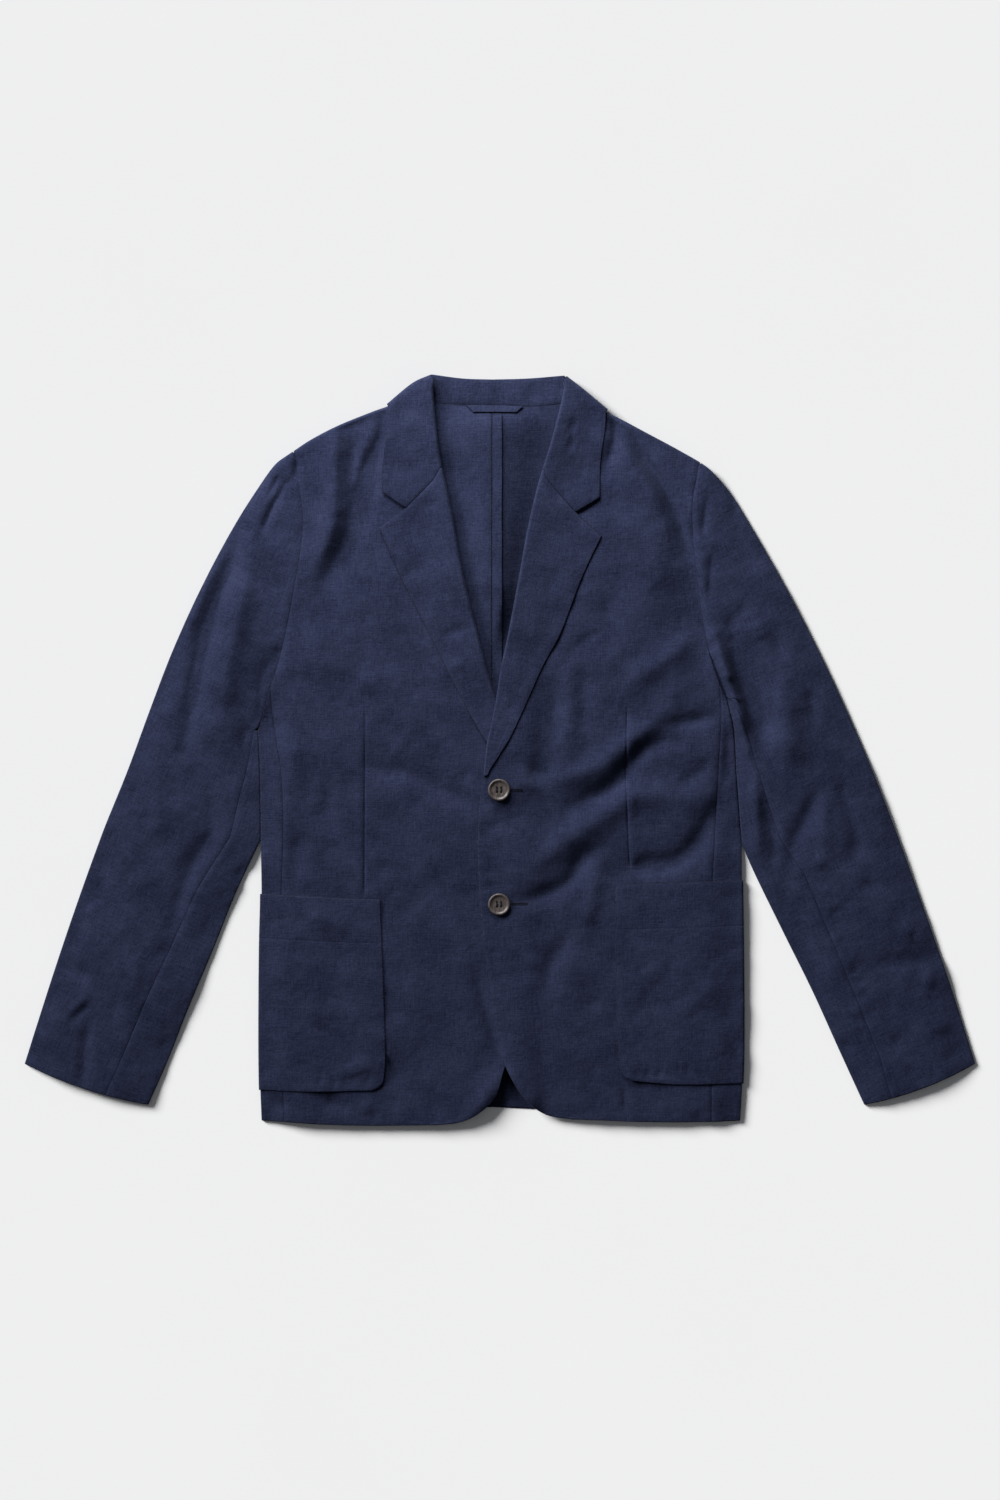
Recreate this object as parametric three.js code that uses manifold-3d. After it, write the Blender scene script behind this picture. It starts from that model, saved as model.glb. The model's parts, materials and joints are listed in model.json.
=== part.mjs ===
// A single-breasted blazer laid flat on its back, front up. Millimetres, +Z up.
// +X is the wearer's left, +Y points to the collar, and the surface it lies on is z = 0.
import * as THREE from "three";
import { mergeVertices } from "three/addons/utils/BufferGeometryUtils.js";
import Module from "manifold-3d";

// Cloth and how its layers lie on each other
const WALL = 1.2;
const SEAM_INSET = 0.2;        // each piece stops this far short of its seam
const LAYER = 1.9;             // middle of a layer to the middle of one laid on it
const SHOULDER_EASE = 0.5;     // extra room at the shoulder seam, under the fold
const BASE = WALL / 2;         // middle of the layer that rests on the surface
const LOFT = 2.4;              // middle of the back to the middle of the front at a fold
const LEAST_LOFT = 2.0;        // the same at the bottom of a trough
const FOLD_STEPS = 4;          // flats round a fold

// Rises of the lowest layer over the collar's fall and over the pockets' backs
const NECK_RISE = 1.8;
const NECK_RISE_LOW = 288;
const NECK_RISE_RAMP = 40;
const NECK_RISE_HALF_WIDTH = 150;
const NECK_RISE_SIDE_RAMP = 25;
const POCKET_RISE = 1.5;
const POCKET_RISE_INNER = 165;
const POCKET_RISE_TOP = -90;
const POCKET_RISE_BOTTOM = -390;
const POCKET_RISE_RAMP = 30;
const POCKET_BACK = 40;        // width of the pocket beneath the side fold
const POCKET_STANDOFF = 1.6;   // pocket's fold outside the side panel's fold

// Fullness of the fronts and the sleeves between their folds
const FRONT_PUFF = 3.2;
const FRONT_PUFF_HALF_WIDTH = 235;
const FRONT_PUFF_RAMP = 48;
const SLEEVE_PUFF = 3.4;

// Lap of the left front over the right one, and over the end of the right lapel
const LAP_LIFT = 2.0;
const LAP_END = 52;
const LAP_RAMP = 26;
const LAP_TOP = 110;
const LAP_TOP_RAMP = 44;
const LAPEL_END_LIFT = 2.1;
const LAPEL_END = { x: 2, y: 14, across: 26, along: 56, fade: 0.7 };

// Soft roll of lapels and collar
const ROLL_LIFT = 4.0;
const ROLL_WIDTH = 26;
const ROLL_RAMP = 70;          // length over which the roll rises from the break of the lapel

// Steps along the shared seams, and how finely a curve is measured for each of its given points
const CURVE_DIVISIONS = 60;
const ARMHOLE_STEPS = 10;
const APEX_STEPS = 4;          // underarm to the point where sleeve and body part
const SIDE_STEPS = 14;
const SLEEVE_STEPS = 9;
const COLLAR_STEPS = 3;
const LAPEL_STEPS = 9;
const EDGE_STEPS = ARMHOLE_STEPS + SIDE_STEPS - COLLAR_STEPS - LAPEL_STEPS;

// Steps across the pieces
const FRONT_COLUMNS = 10;
const NECK_COLUMNS = 3;
const SHOULDER_COLUMNS = 5;
const GORGE_COLUMNS = 3;
const LEAF_COLUMNS = GORGE_COLUMNS + 1;
const SLEEVE_COLUMNS = 6;
const SLEEVE_BACK_COLUMNS = 2;
const SIDE_COLUMNS = 2;
const SIDE_BACK_COLUMNS = 3;
const STAND_COLUMNS = 3;
const POCKET_ROWS = 8;
const POCKET_COLUMNS = 6;
const POCKET_BACK_COLUMNS = 2;
const LOOP_COLUMNS = 2;

// Sleeve seams, as a share of the flat sleeve's width from its inner fold
const ELBOW_SEAM = 0.84;
const SLEEVE_GAP = 0.9;        // between the body's side fold and the sleeve beside it
const CUFF_SAG = -5;           // dip of the cuff's edge between its corners
const CUFF_SAG_ROWS = 4;

// Buttons
const BUTTON = { radius: 11.5, thickness: 3.6, hole: 1.1, holeSpacing: 4.4, seat: 0.3, x: -1 };
const BUTTON_SIDES = { disc: 28, hole: 10 };
// Half of the section, as shares of the radius and of the thickness
const BUTTON_PROFILE = [[0, 0], [0.8, 0], [0.96, 0.2], [1, 0.5], [0.97, 0.85], [0.9, 1], [0.8, 0.92],
  [0.68, 0.66], [0, 0.6]];
const BUTTON_HEIGHTS = [["button_upper", -41.4], ["button_lower", -160.2]];

// Hanger loop and centre back seam allowance
const CENTRE_SEAM = -8;
const ALLOWANCE = { left: 2, top: 348, bottom: -366, steps: 14 };
const LOOP = { left: -35, right: 24, top: 358, bottom: 350.5, chamfer: 7, steps: 8 };

const CLOTH_COLOUR = 0x29304a;
const BUTTON_COLOUR = 0x3a3432;

// Outlines of the wearer's right half, at -X. Columns are x and y, a row for each bend of the line.
const RIGHT = {
  sign: -1,
  shoulder: [[-72, 378], [-95, 366.5], [-117, 357], [-131, 352], [-164, 339], [-198, 321.5], [-214.5, 310.5]],
  armhole: [[-210, 281], [-205, 247], [-206, 218], [-214, 168], [-223, 120], [-231, 88], [-239, 64]],
  frontSeam: [[-239, 64], [-236.5, 34], [-232.3, 7.3], [-227.8, -18.7], [-225.3, -72.8], [-227, -153],
    [-226, -260], [-224.6, -386]],
  backSeam: [[-239, 64], [-222, -8], [-198, -80], [-180, -180], [-172, -280], [-168, -384]],
  underarm: [[-251.5, 20], [-249.6, -20], [-248.6, -94]],
  side: [[-248.6, -94], [-247.8, -150], [-249, -202], [-249.6, -309], [-249, -353], [-247.8, -385]],
  roll: [[-69.7, 380], [-68.6, 360.3], [-62.9, 308.3], [-60.3, 293]],
  chestRoll: [[-60.3, 293], [-51.4, 252.7], [-37.9, 179.4], [-21.8, 114.4], [-13.5, 82], [-5.5, 57],
    [3.1, 31], [19.8, -22]],
  edge: [[19.8, -22], [20, -160], [19.5, -265], [12, -307], [3.5, -334], [-4.7, -360], [-21.8, -377],
    [-40, -386], [-67.6, -389]],
  hem: [[-224.6, -386], [-189, -388.4], [-128, -390], [-67.6, -389]],
  backHem: [[-8, -371], [-90, -376], [-168, -384]],
  gorge: [[-60.3, 293], [-68.6, 281.3], [-83, 266], [-97.6, 251]],
  collarTip: [-121.7, 267.3],
  lapelTip: [-125, 230.9],
  lapelEdge: [[-125, 230.9], [-107, 189], [-71, 116], [-31.2, 38], [-13.5, 8.3], [3.1, -12],
    [11.5, -20.5]],
  leafEdge: [[-121.7, 267.3], [-122.7, 281.3], [-116.8, 339], [-115, 358]],
  collarFold: [[-69.7, 390], [-88.4, 382], [-117.5, 359.5]],
  sleeveInner: [[-250.3, -95], [-273.5, -146], [-298.5, -208], [-324.5, -270], [-345, -322],
    [-365.5, -368.7]],
  sleeveOuter: [[-220, 307], [-233, 297.4], [-252.7, 270.4], [-278.7, 228.8], [-310, 169.5], [-340, 104],
    [-364, 41.6], [-387, -21], [-412, -83], [-442, -166], [-470, -250], [-494, -326]],
  sleeveSeam: [[0, 0.03], [0.1, 0.085], [0.2, 0.145], [0.45, 0.25], [1, 0.345]],
  pocketMouth: [[-124.8, -155.4], [-162, -154.4], [-247.8, -149.8]],
  pocketInner: [[-124.8, -155.4], [-121.7, -232], [-120, -336], [-123, -347], [-131.4, -353]],
  pocketBottom: [[-131.4, -353], [-189, -354.6], [-248.5, -353]],
  breakHeight: 40,
};

// Outlines of the wearer's left half, at +X, in the same columns
const LEFT = {
  sign: 1,
  shoulder: [[72, 373], [83, 366], [101, 355.5], [111, 350.5], [120, 346.5], [152, 329.7], [185, 312],
    [208, 299]],
  armhole: [[204, 281], [200, 258], [201, 218], [208, 156], [213, 124], [218, 98], [228, 68]],
  frontSeam: [[228, 68], [230, 40], [228, 0], [223.6, -80], [220.5, -135], [219, -250], [219.4, -386]],
  backSeam: [[228, 68], [214, 0], [196, -80], [180, -180], [172, -280], [168, -384]],
  underarm: [[235, 54], [242.4, 24], [245.6, -27], [251, -98]],
  side: [[251, -98], [251.3, -150], [252, -202], [252.5, -309], [251.5, -348], [249.6, -385]],
  roll: [[67.6, 380], [63.1, 358.3], [54.1, 323.4], [44.3, 291.2]],
  chestRoll: [[44.3, 291.2], [39, 273.5], [27.6, 223.6], [19.8, 179.4], [7.3, 114.4], [1.7, 88.4],
    [-4.4, 50], [-8.5, 28], [-13.3, 7], [-15.7, -14]],
  edge: [[-15.7, -14], [-19.2, -40.6], [-22.4, -104], [-17.7, -186], [-8.3, -257], [2.1, -317.7],
    [14.6, -345.3], [30.2, -366], [47.8, -378.6], [75.9, -383.2]],
  hem: [[219.4, -386], [182, -386.4], [130, -385.4], [75.9, -383.2]],
  backHem: [[-8, -371], [90, -376], [168, -384]],
  gorge: [[44.3, 291.2], [48.5, 282], [63, 264], [78.5, 246.8]],
  collarTip: [103.5, 262.1],
  lapelTip: [105.4, 221.7],
  lapelEdge: [[105.4, 221.7], [85.3, 179.4], [62.1, 119.6], [45.2, 88.4], [30.9, 57.2], [21.3, 35.4],
    [10.4, 12.9], [-2.5, -7.5], [-7.5, -13]],
  leafEdge: [[103.5, 262.1], [104.4, 300.6], [109, 334], [110, 348]],
  collarFold: [[67.6, 388.5], [83.2, 377], [112, 354]],
  sleeveInner: [[252, -99], [263.1, -125], [293.3, -187], [324.5, -250], [352.6, -312], [378.6, -368.7]],
  sleeveOuter: [[213, 296], [218.4, 291.2], [237, 270.4], [263, 228.8], [298.5, 166.4], [330.7, 104],
    [360, 41.6], [387, -21], [411, -83], [441, -166], [470, -250], [494, -326]],
  sleeveSeam: [[0, 0.03], [0.15, 0.15], [0.4, 0.31], [0.7, 0.28], [0.9, 0.28], [1, 0.235]],
  pocketMouth: [[119.8, -140], [182, -137.7], [251.2, -135.8]],
  pocketInner: [[119.8, -140], [120.6, -232], [124, -320], [127, -336], [136.2, -343]],
  pocketBottom: [[136.2, -343], [182, -347], [251.7, -346.3]],
  breakHeight: 40,
};

// Inner neckline of the back, from the centre seam to each shoulder
const NECKLINE = {
  right: [[-8, 357.5], [-36, 358], [-67, 361.5]],
  left: [[-8, 357.5], [30, 356.5], [63, 360]],
};
const STAND_TOP = {
  right: [[-8, 385.2], [-38, 386.2], [-66, 390]],
  left: [[-8, 385.2], [28, 386.2], [63, 389]],
};
const FALL_EDGE = [[-115, 357], [-90, 345], [-50, 337], [0, 335], [50, 337], [85, 343], [109, 351]];

// Largest folds of the upper layer: from a point to a point, width and height, a row for each fold
const FOLDS = [
  { x0: 73, y0: -58, x1: 139, y1: -10, width: 20, height: -2.4 },
  { x0: 139, y0: -10, x1: 206, y1: 28, width: 20, height: -1.8 },
  { x0: 20, y0: -158, x1: 107, y1: -99, width: 20, height: -1.8 },
  { x0: 122, y0: -130, x1: 196, y1: -110, width: 20, height: -2.6 },
  { x0: 196, y0: -110, x1: 228, y1: -48, width: 18, height: -2.2 },
  { x0: 36, y0: -112, x1: 133, y1: -51, width: 20, height: 1.8 },
  { x0: 36, y0: -38, x1: 133, y1: 9, width: 20, height: 1.6 },
  { x0: 135, y0: 70, x1: 206, y1: 121, width: 22, height: 1.6 },
  { x0: 136, y0: 262, x1: 137, y1: 171, width: 20, height: 1.2 },
  { x0: 130, y0: 327, x1: 181, y1: 249, width: 18, height: -1.8 },
  { x0: 181, y0: 249, x1: 211, y1: 107, width: 18, height: -1.6 },
  { x0: 236, y0: 104, x1: 270, y1: -6, width: 18, height: -2.2 },
  { x0: 290, y0: 79, x1: 298, y1: -20, width: 20, height: 1.8 },
  { x0: 335, y0: -38, x1: 301, y1: -133, width: 18, height: -1.8 },
  { x0: 353, y0: -25, x1: 371, y1: -101, width: 18, height: -1.6 },
  { x0: -120, y0: 353, x1: -159, y1: 226, width: 18, height: -1.8 },
  { x0: -136, y0: -17, x1: -30, y1: -56, width: 20, height: -1.8 },
  { x0: -212, y0: -86, x1: -210, y1: -146, width: 16, height: -1.2 },
  { x0: -272, y0: 216, x1: -312, y1: 94, width: 18, height: -2.2 },
  { x0: -312, y0: 94, x1: -329, y1: -2, width: 18, height: -2.2 },
  { x0: -318, y0: -38, x1: -346, y1: -209, width: 18, height: -1.6 },
  { x0: -262, y0: 200, x1: -288, y1: 5, width: 20, height: 1.8 },
  { x0: -409, y0: -101, x1: -450, y1: -222, width: 18, height: -1.4 },
];

const smooth = (value) => THREE.MathUtils.smoothstep(value, 0, 1);
const mix = (from, to, share) => from.map((value, axis) => value + (to[axis] - value) * share);
const distance = (from, to) => Math.hypot(to[0] - from[0], to[1] - from[1]);

// Heights

// Middle of the lowest layer of the body
function backHeight(x, y) {
  const neck = smooth((y - NECK_RISE_LOW) / NECK_RISE_RAMP)
    * smooth((NECK_RISE_HALF_WIDTH - Math.abs(x)) / NECK_RISE_SIDE_RAMP);
  const pocket = smooth((Math.abs(x) - POCKET_RISE_INNER) / POCKET_RISE_RAMP)
    * smooth((POCKET_RISE_TOP - y) / POCKET_RISE_RAMP)
    * smooth((y - POCKET_RISE_BOTTOM) / POCKET_RISE_RAMP);
  return BASE + NECK_RISE * neck + POCKET_RISE * pocket;
}

// Height that the largest folds add at a point, soft across and at both ends
function foldHeight(x, y) {
  let sum = 0;
  for (const fold of FOLDS) {
    const run = [fold.x1 - fold.x0, fold.y1 - fold.y0];
    const along = ((x - fold.x0) * run[0] + (y - fold.y0) * run[1]) / (run[0] ** 2 + run[1] ** 2);
    const near = mix([fold.x0, fold.y0], [fold.x1, fold.y1], THREE.MathUtils.clamp(along, 0, 1));
    sum += fold.height * Math.exp(-((distance(near, [x, y]) / fold.width) ** 2));
  }
  return sum;
}

function frontPuff(x) {
  return FRONT_PUFF * smooth((FRONT_PUFF_HALF_WIDTH - Math.abs(x)) / FRONT_PUFF_RAMP);
}

// Middle of the upper layer of the body
function frontHeight(x, y) {
  return backHeight(x, y) + Math.max(LEAST_LOFT, LOFT + frontPuff(x) + foldHeight(x, y));
}

// Middle of the left front, which lies over the right front's edge and the end of its lapel
function lapHeight(x, y) {
  const overEdge = smooth((LAP_END - x) / LAP_RAMP) * smooth((LAP_TOP - y) / LAP_TOP_RAMP);
  const reach = Math.hypot((x - LAPEL_END.x) / LAPEL_END.across, (y - LAPEL_END.y) / LAPEL_END.along);
  const overLapel = smooth((1 + LAPEL_END.fade - reach) / LAPEL_END.fade);
  return frontHeight(x, y) + LAP_LIFT * overEdge + LAPEL_END_LIFT * overLapel;
}

const panelHeight = (half) => (half === LEFT ? lapHeight : frontHeight);

// Middle of the upper layer of a sleeve, at a share of its width
function sleeveHeight(x, y, share) {
  const puff = frontPuff(x) + SLEEVE_PUFF * 4 * share * (1 - share);
  return BASE + Math.max(LEAST_LOFT, LOFT + puff + foldHeight(x, y));
}

// Lines and patches seen from above

// Evenly spaced points along a smooth line through a few given ones
function along(points, steps) {
  const given = points.map(([x, y]) => new THREE.Vector3(x, y, 0));
  const line = new THREE.CatmullRomCurve3(given, false, "centripetal");
  line.arcLengthDivisions = CURVE_DIVISIONS * points.length;
  return Array.from({ length: steps + 1 }, (_, step) => {
    const point = line.getPointAt(step / steps);
    return [point.x, point.y];
  });
}

// Joins lines end to end, without the repeated points
function joined(...lines) {
  return lines.flatMap((line, order) => (order === 0 ? line : line.slice(1)));
}

// Unit directions across a line, on the side of a given point or away from it
function across(line, side, away) {
  return line.map((point, index) => {
    const before = line[Math.max(index - 1, 0)];
    const after = line[Math.min(index + 1, line.length - 1)];
    const length = distance(before, after);
    const normal = [(after[1] - before[1]) / length, (before[0] - after[0]) / length];
    const towards = normal[0] * (side[0] - point[0]) + normal[1] * (side[1] - point[1]);
    const sign = (towards > 0) === away ? -1 : 1;
    return normal.map((value) => value * sign);
  });
}

const shifted = (line, directions, amount) =>
  line.map(([x, y], index) => [x + directions[index][0] * amount, y + directions[index][1] * amount]);

// Grid of plan points inside four boundary lines: rows run from the left line to the right one
function patch(left, right, top, bottom) {
  const rows = left.length - 1;
  const columns = top.length - 1;
  return left.map((_, row) => top.map((__, column) => {
    const v = row / rows;
    const u = column / columns;
    return [0, 1].map((axis) => {
      const ruled = (1 - u) * left[row][axis] + u * right[row][axis] + (1 - v) * top[column][axis]
        + v * bottom[column][axis];
      const corners = (1 - u) * (1 - v) * left[0][axis] + u * (1 - v) * right[0][axis]
        + (1 - u) * v * left[rows][axis] + u * v * right[rows][axis];
      return ruled - corners;
    });
  }));
}

// Half a turn of cloth from a high layer to a low one round a fold
function turn(centre, outward, high, low) {
  const radius = (high - low) / 2;
  return Array.from({ length: FOLD_STEPS + 1 }, (_, step) => {
    const angle = Math.PI / 2 - (Math.PI * step) / FOLD_STEPS;
    const reach = radius * Math.cos(angle);
    return [
      centre[0] + outward[0] * reach,
      centre[1] + outward[1] * reach,
      low + radius + radius * Math.sin(angle),
    ];
  });
}

// Straight run of plan points with their heights
function run(from, to, steps, height) {
  return Array.from({ length: steps + 1 }, (_, step) => {
    const [x, y] = mix(from, to, step / steps);
    return [x, y, height(x, y, step / steps)];
  });
}

// Walls

// Closes a grid of middle points into a wall of cloth. Cells with a missing corner stay open.
function cloth(name, grid) {
  const points = grid.map((row) => row.map((point) => (point ? new THREE.Vector3(...point) : null)));
  const at = (row, column) => points[row]?.[column] ?? null;
  const steps = [[0, 1], [0, -1], [1, 0], [-1, 0]];
  const eased = points.map((line, row) => line.map((point, column) => {
    if (!point) return null;
    const moved = point.clone();
    for (const [down, right] of steps) {
      const next = at(row + down, column + right);
      if (next && !at(row - down, column - right)) {
        moved.addScaledVector(next.clone().sub(point).normalize(), SEAM_INSET);
      }
    }
    return moved;
  }));
  const position = [];
  const number = points.map((line) => line.map(() => -1));
  let count = 0;
  points.forEach((line, row) => line.forEach((point, column) => {
    if (!point) return;
    const sideways = (at(row, column + 1) ?? point).clone().sub(at(row, column - 1) ?? point);
    const down = (at(row + 1, column) ?? point).clone().sub(at(row - 1, column) ?? point);
    const normal = sideways.cross(down).normalize().multiplyScalar(WALL / 2);
    number[row][column] = count;
    position.push(...eased[row][column].clone().add(normal).toArray());
    position.push(...eased[row][column].clone().sub(normal).toArray());
    count += 2;
  }));
  const filled = (row, column) => [[0, 0], [0, 1], [1, 0], [1, 1]].every(([down, right]) =>
    (number[row + down]?.[column + right] ?? -1) >= 0);
  const index = [];
  const quad = (a, b, c, d) => index.push(a, b, c, a, c, d);
  for (let row = 0; row < points.length - 1; row += 1) {
    for (let column = 0; column < points[0].length - 1; column += 1) {
      if (!filled(row, column)) continue;
      const corner = [
        number[row][column],
        number[row + 1][column],
        number[row + 1][column + 1],
        number[row][column + 1],
      ];
      quad(...corner);
      quad(corner[0] + 1, corner[3] + 1, corner[2] + 1, corner[1] + 1);
      const neighbours = [[0, -1], [1, 0], [0, 1], [-1, 0]];
      neighbours.forEach(([down, right], side) => {
        if (filled(row + down, column + right)) return;
        const start = corner[side];
        const end = corner[(side + 1) % 4];
        quad(start, start + 1, end + 1, end);
      });
    }
  }
  return solidMesh(name, position, index, clothMaterial);
}

function facesOutward(position, index) {
  let volume = 0;
  for (let face = 0; face < index.length; face += 3) {
    const [a, b, c] = [0, 1, 2].map((corner) =>
      new THREE.Vector3().fromArray(position, index[face + corner] * 3));
    volume += a.dot(b.cross(c));
  }
  return volume > 0;
}

function solidMesh(name, position, index, material) {
  const faces = facesOutward(position, index) ? index : index.toReversed();
  const geometry = new THREE.BufferGeometry();
  geometry.setAttribute("position", new THREE.Float32BufferAttribute(position, 3));
  geometry.setIndex(faces);
  geometry.computeVertexNormals();
  const mesh = new THREE.Mesh(geometry, material);
  mesh.name = name;
  return mesh;
}

const matt = (color, roughness) => new THREE.MeshStandardMaterial({ color, roughness, metalness: 0 });
const clothMaterial = matt(CLOTH_COLOUR, 0.9);
const buttonMaterial = matt(BUTTON_COLOUR, 0.45);

// Shared lines of each half, worked out from its outlines

// Centre line of a fold and its outward directions, from the fold's outermost line
function foldCentre(line, inside, high, low) {
  const outward = across(line, inside, true);
  const centre = line.map((point, index) => {
    const radius = (high(...point) - low(...point)) / 2;
    return [0, 1].map((axis) => point[axis] - outward[index][axis] * (radius + WALL / 2));
  });
  return { centre, outward };
}

function halfLines(half) {
  const inside = [half.sign * 100, 0];
  const shoulder = foldCentre(along(half.shoulder, FRONT_COLUMNS), inside, frontHeight, backHeight);
  const tip = shoulder.centre[FRONT_COLUMNS];
  const neck = shoulder.centre[0];
  const armhole = along([tip, ...half.armhole], ARMHOLE_STEPS);
  const frontSeam = along(half.frontSeam, SIDE_STEPS);
  const backSeam = along(half.backSeam, SIDE_STEPS);
  const side = joined(along(half.underarm, APEX_STEPS), along(half.side, SIDE_STEPS - APEX_STEPS));

  // The roll's outermost line is the one that shows; the front ends under it
  const rollSteps = COLLAR_STEPS + LAPEL_STEPS;
  const roll = joined(along(half.roll, COLLAR_STEPS), along(half.chestRoll, LAPEL_STEPS));
  const outward = across(roll, [half.sign * 200, 0], true);
  const lift = roll.map(([, y]) => ROLL_LIFT * smooth((y - half.breakHeight) / ROLL_RAMP));
  const rollCentre = roll.map((point, step) => [0, 1].map((axis) =>
    point[axis] - outward[step][axis] * ((LAYER + lift[step]) / 2 + WALL / 2)));
  rollCentre[0] = neck;
  const edge = along([rollCentre[rollSteps], ...half.edge.slice(1)], EDGE_STEPS);
  return { shoulder, tip, neck, armhole, frontSeam, backSeam, side, rollCentre, outward, lift, edge };
}

// Pieces

function frontPanel(name, half, lines) {
  const height = panelHeight(half);
  const outer = joined(lines.armhole, lines.frontSeam);
  const inner = joined(lines.rollCentre, lines.edge);
  const top = lines.shoulder.centre.toReversed();
  const bottom = along(half.hem, FRONT_COLUMNS);
  const grid = patch(outer, inner, top, bottom).map((row) => row.map(([x, y]) => [x, y, height(x, y)]));
  const wrapped = top.map((centre, column) => {
    const outward = lines.shoulder.outward[FRONT_COLUMNS - column];
    return turn(centre, outward, height(...centre), backHeight(...centre)).toReversed();
  });
  const wrapRows = Array.from({ length: FOLD_STEPS }, (_, step) => wrapped.map((section) => section[step]));
  return cloth(name, [...wrapRows, ...grid]);
}

function backPanel(name, half, lines, neckline) {
  const outer = joined(lines.armhole, lines.backSeam);
  const rows = outer.length - 1;
  const eased = shifted(lines.shoulder.centre, lines.shoulder.outward, -SHOULDER_EASE);
  eased[FRONT_COLUMNS] = lines.tip;
  const top = [...along(neckline, NECK_COLUMNS), ...resampled(eased, SHOULDER_COLUMNS)].toReversed();
  const centre = along([neckline[0], half.backHem[0]], rows);
  const bottom = along(half.backHem, top.length - 1).toReversed();
  const plan = patch(outer, centre, top, bottom);
  return cloth(name, plan.map((row) => row.map(([x, y]) => [x, y, backHeight(x, y)])));
}

// Every so many points of a line, so that a coarser piece still meets a finer one at its vertices
function resampled(line, steps) {
  return Array.from({ length: steps + 1 }, (_, step) => line[Math.round((step * (line.length - 1)) / steps)]);
}

function sidePanel(name, half, lines) {
  const fold = foldCentre(lines.side, [0, 0], frontHeight, backHeight);
  const rows = lines.side.map((_, row) => {
    const centre = fold.centre[row];
    const high = frontHeight(...centre);
    const low = backHeight(...centre);
    return joined(
      run(lines.frontSeam[row], centre, SIDE_COLUMNS, frontHeight),
      turn(centre, fold.outward[row], high, low),
      run(centre, lines.backSeam[row], SIDE_BACK_COLUMNS, backHeight),
    );
  });
  return cloth(name, rows);
}

// Share of the sleeve's width at its front seam, for a share of the way from underarm to cuff
function seamShare(table, way) {
  const next = Math.max(1, table.findIndex(([position]) => position >= way));
  const [start, from] = table[next - 1];
  const [end, to] = table[next];
  return from + ((to - from) * (way - start)) / (end - start);
}

// Both folds and the seams of a flat sleeve, a section for each row from shoulder to cuff
function sleeveSections(half, lines) {
  const [tipX, tipY] = lines.tip;
  const beside = along(half.underarm, APEX_STEPS);
  const clear = shifted(beside, across(beside, [0, 0], true), SLEEVE_GAP);
  const lower = along([clear[APEX_STEPS], ...half.sleeveInner.slice(1)], SLEEVE_STEPS);
  const armhole = [[tipX + half.sign * SLEEVE_GAP, tipY], ...lines.armhole.slice(1)];
  const inner = joined([...armhole, clear[0]], clear, lower);
  const rows = inner.length - 1;
  const outer = along(half.sleeveOuter, rows);
  const flat = () => BASE;
  const full = () => BASE + LOFT;
  const outerFold = foldCentre(outer, [half.sign * 200, 0], full, flat);
  const innerFold = foldCentre(inner, [half.sign * 600, -100], full, flat);
  const underarmRow = ARMHOLE_STEPS + 1;
  return inner.map((point, row) => {
    const folded = row >= underarmRow;
    const start = folded ? innerFold.centre[row] : point;
    const end = outerFold.centre[row];
    const way = (row - underarmRow) / (rows - underarmRow);
    const sag = CUFF_SAG * smooth((row - rows + CUFF_SAG_ROWS) / CUFF_SAG_ROWS);
    const seam = folded ? seamShare(half.sleeveSeam, way) : 0;
    const place = (share) => {
      const [x, y] = mix(start, end, share);
      return [x, y + sag * 4 * share * (1 - share)];
    };
    const [inward, outward] = [innerFold.outward[row], outerFold.outward[row]];
    return { folded, start, end, seam, place, inward, outward };
  });
}

function shareRun(section, from, to, steps, height) {
  return Array.from({ length: steps + 1 }, (_, step) => {
    const share = from + ((to - from) * step) / steps;
    const [x, y] = section.place(share);
    return [x, y, height(x, y, share)];
  });
}

const restHeight = () => BASE;

function topSleeve(name, sections) {
  return cloth(name, sections.map((section) => joined(
    shareRun(section, section.seam, 1, SLEEVE_COLUMNS, sleeveHeight),
    turn(section.end, section.outward, sleeveHeight(...section.end, 1), BASE),
    shareRun(section, 1, ELBOW_SEAM, SLEEVE_BACK_COLUMNS, restHeight),
  )));
}

function underSleeve(name, sections) {
  return cloth(name, sections.map((section) => {
    const under = shareRun(section, ELBOW_SEAM, 0, SLEEVE_COLUMNS, restHeight);
    if (!section.folded) return [...under, ...Array(FOLD_STEPS + SLEEVE_BACK_COLUMNS).fill(null)];
    return joined(
      under,
      turn(section.start, section.inward, sleeveHeight(...section.start, 0), BASE).toReversed(),
      shareRun(section, 0, section.seam, SLEEVE_BACK_COLUMNS, sleeveHeight),
    );
  }));
}

// Height of a lapel or leaf above its panel, for a distance from its roll
const leafRise = (lift, reach) => LAYER + lift * Math.exp(-((reach / ROLL_WIDTH) ** 2));

// Rows of a leaf: half a turn of roll from the panel's edge, then the leaf out to its own edge
function leafRows(plan, height, outward, lift) {
  return plan.map((row, index) => {
    const [outX, outY] = outward[index];
    const moved = row.map(([x, y], column) => {
      const shift = SEAM_INSET * (1 - column / (row.length - 1));
      return [x + outX * shift, y + outY * shift];
    });
    const low = height(...moved[0]);
    const leaf = moved.map((point) => {
      const rise = leafRise(lift[index], distance(moved[0], point));
      return [...point, height(...point) + rise];
    });
    return joined(turn(moved[0], outward[index], leaf[0][2], low).toReversed(), leaf);
  });
}

// Gorge seam from the roll to the notch, which collar and lapel share, and on to the tip
function notchLine(start, half, tip) {
  const gorge = along([start, ...half.gorge.slice(1)], GORGE_COLUMNS);
  return [...gorge, tip];
}

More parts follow.
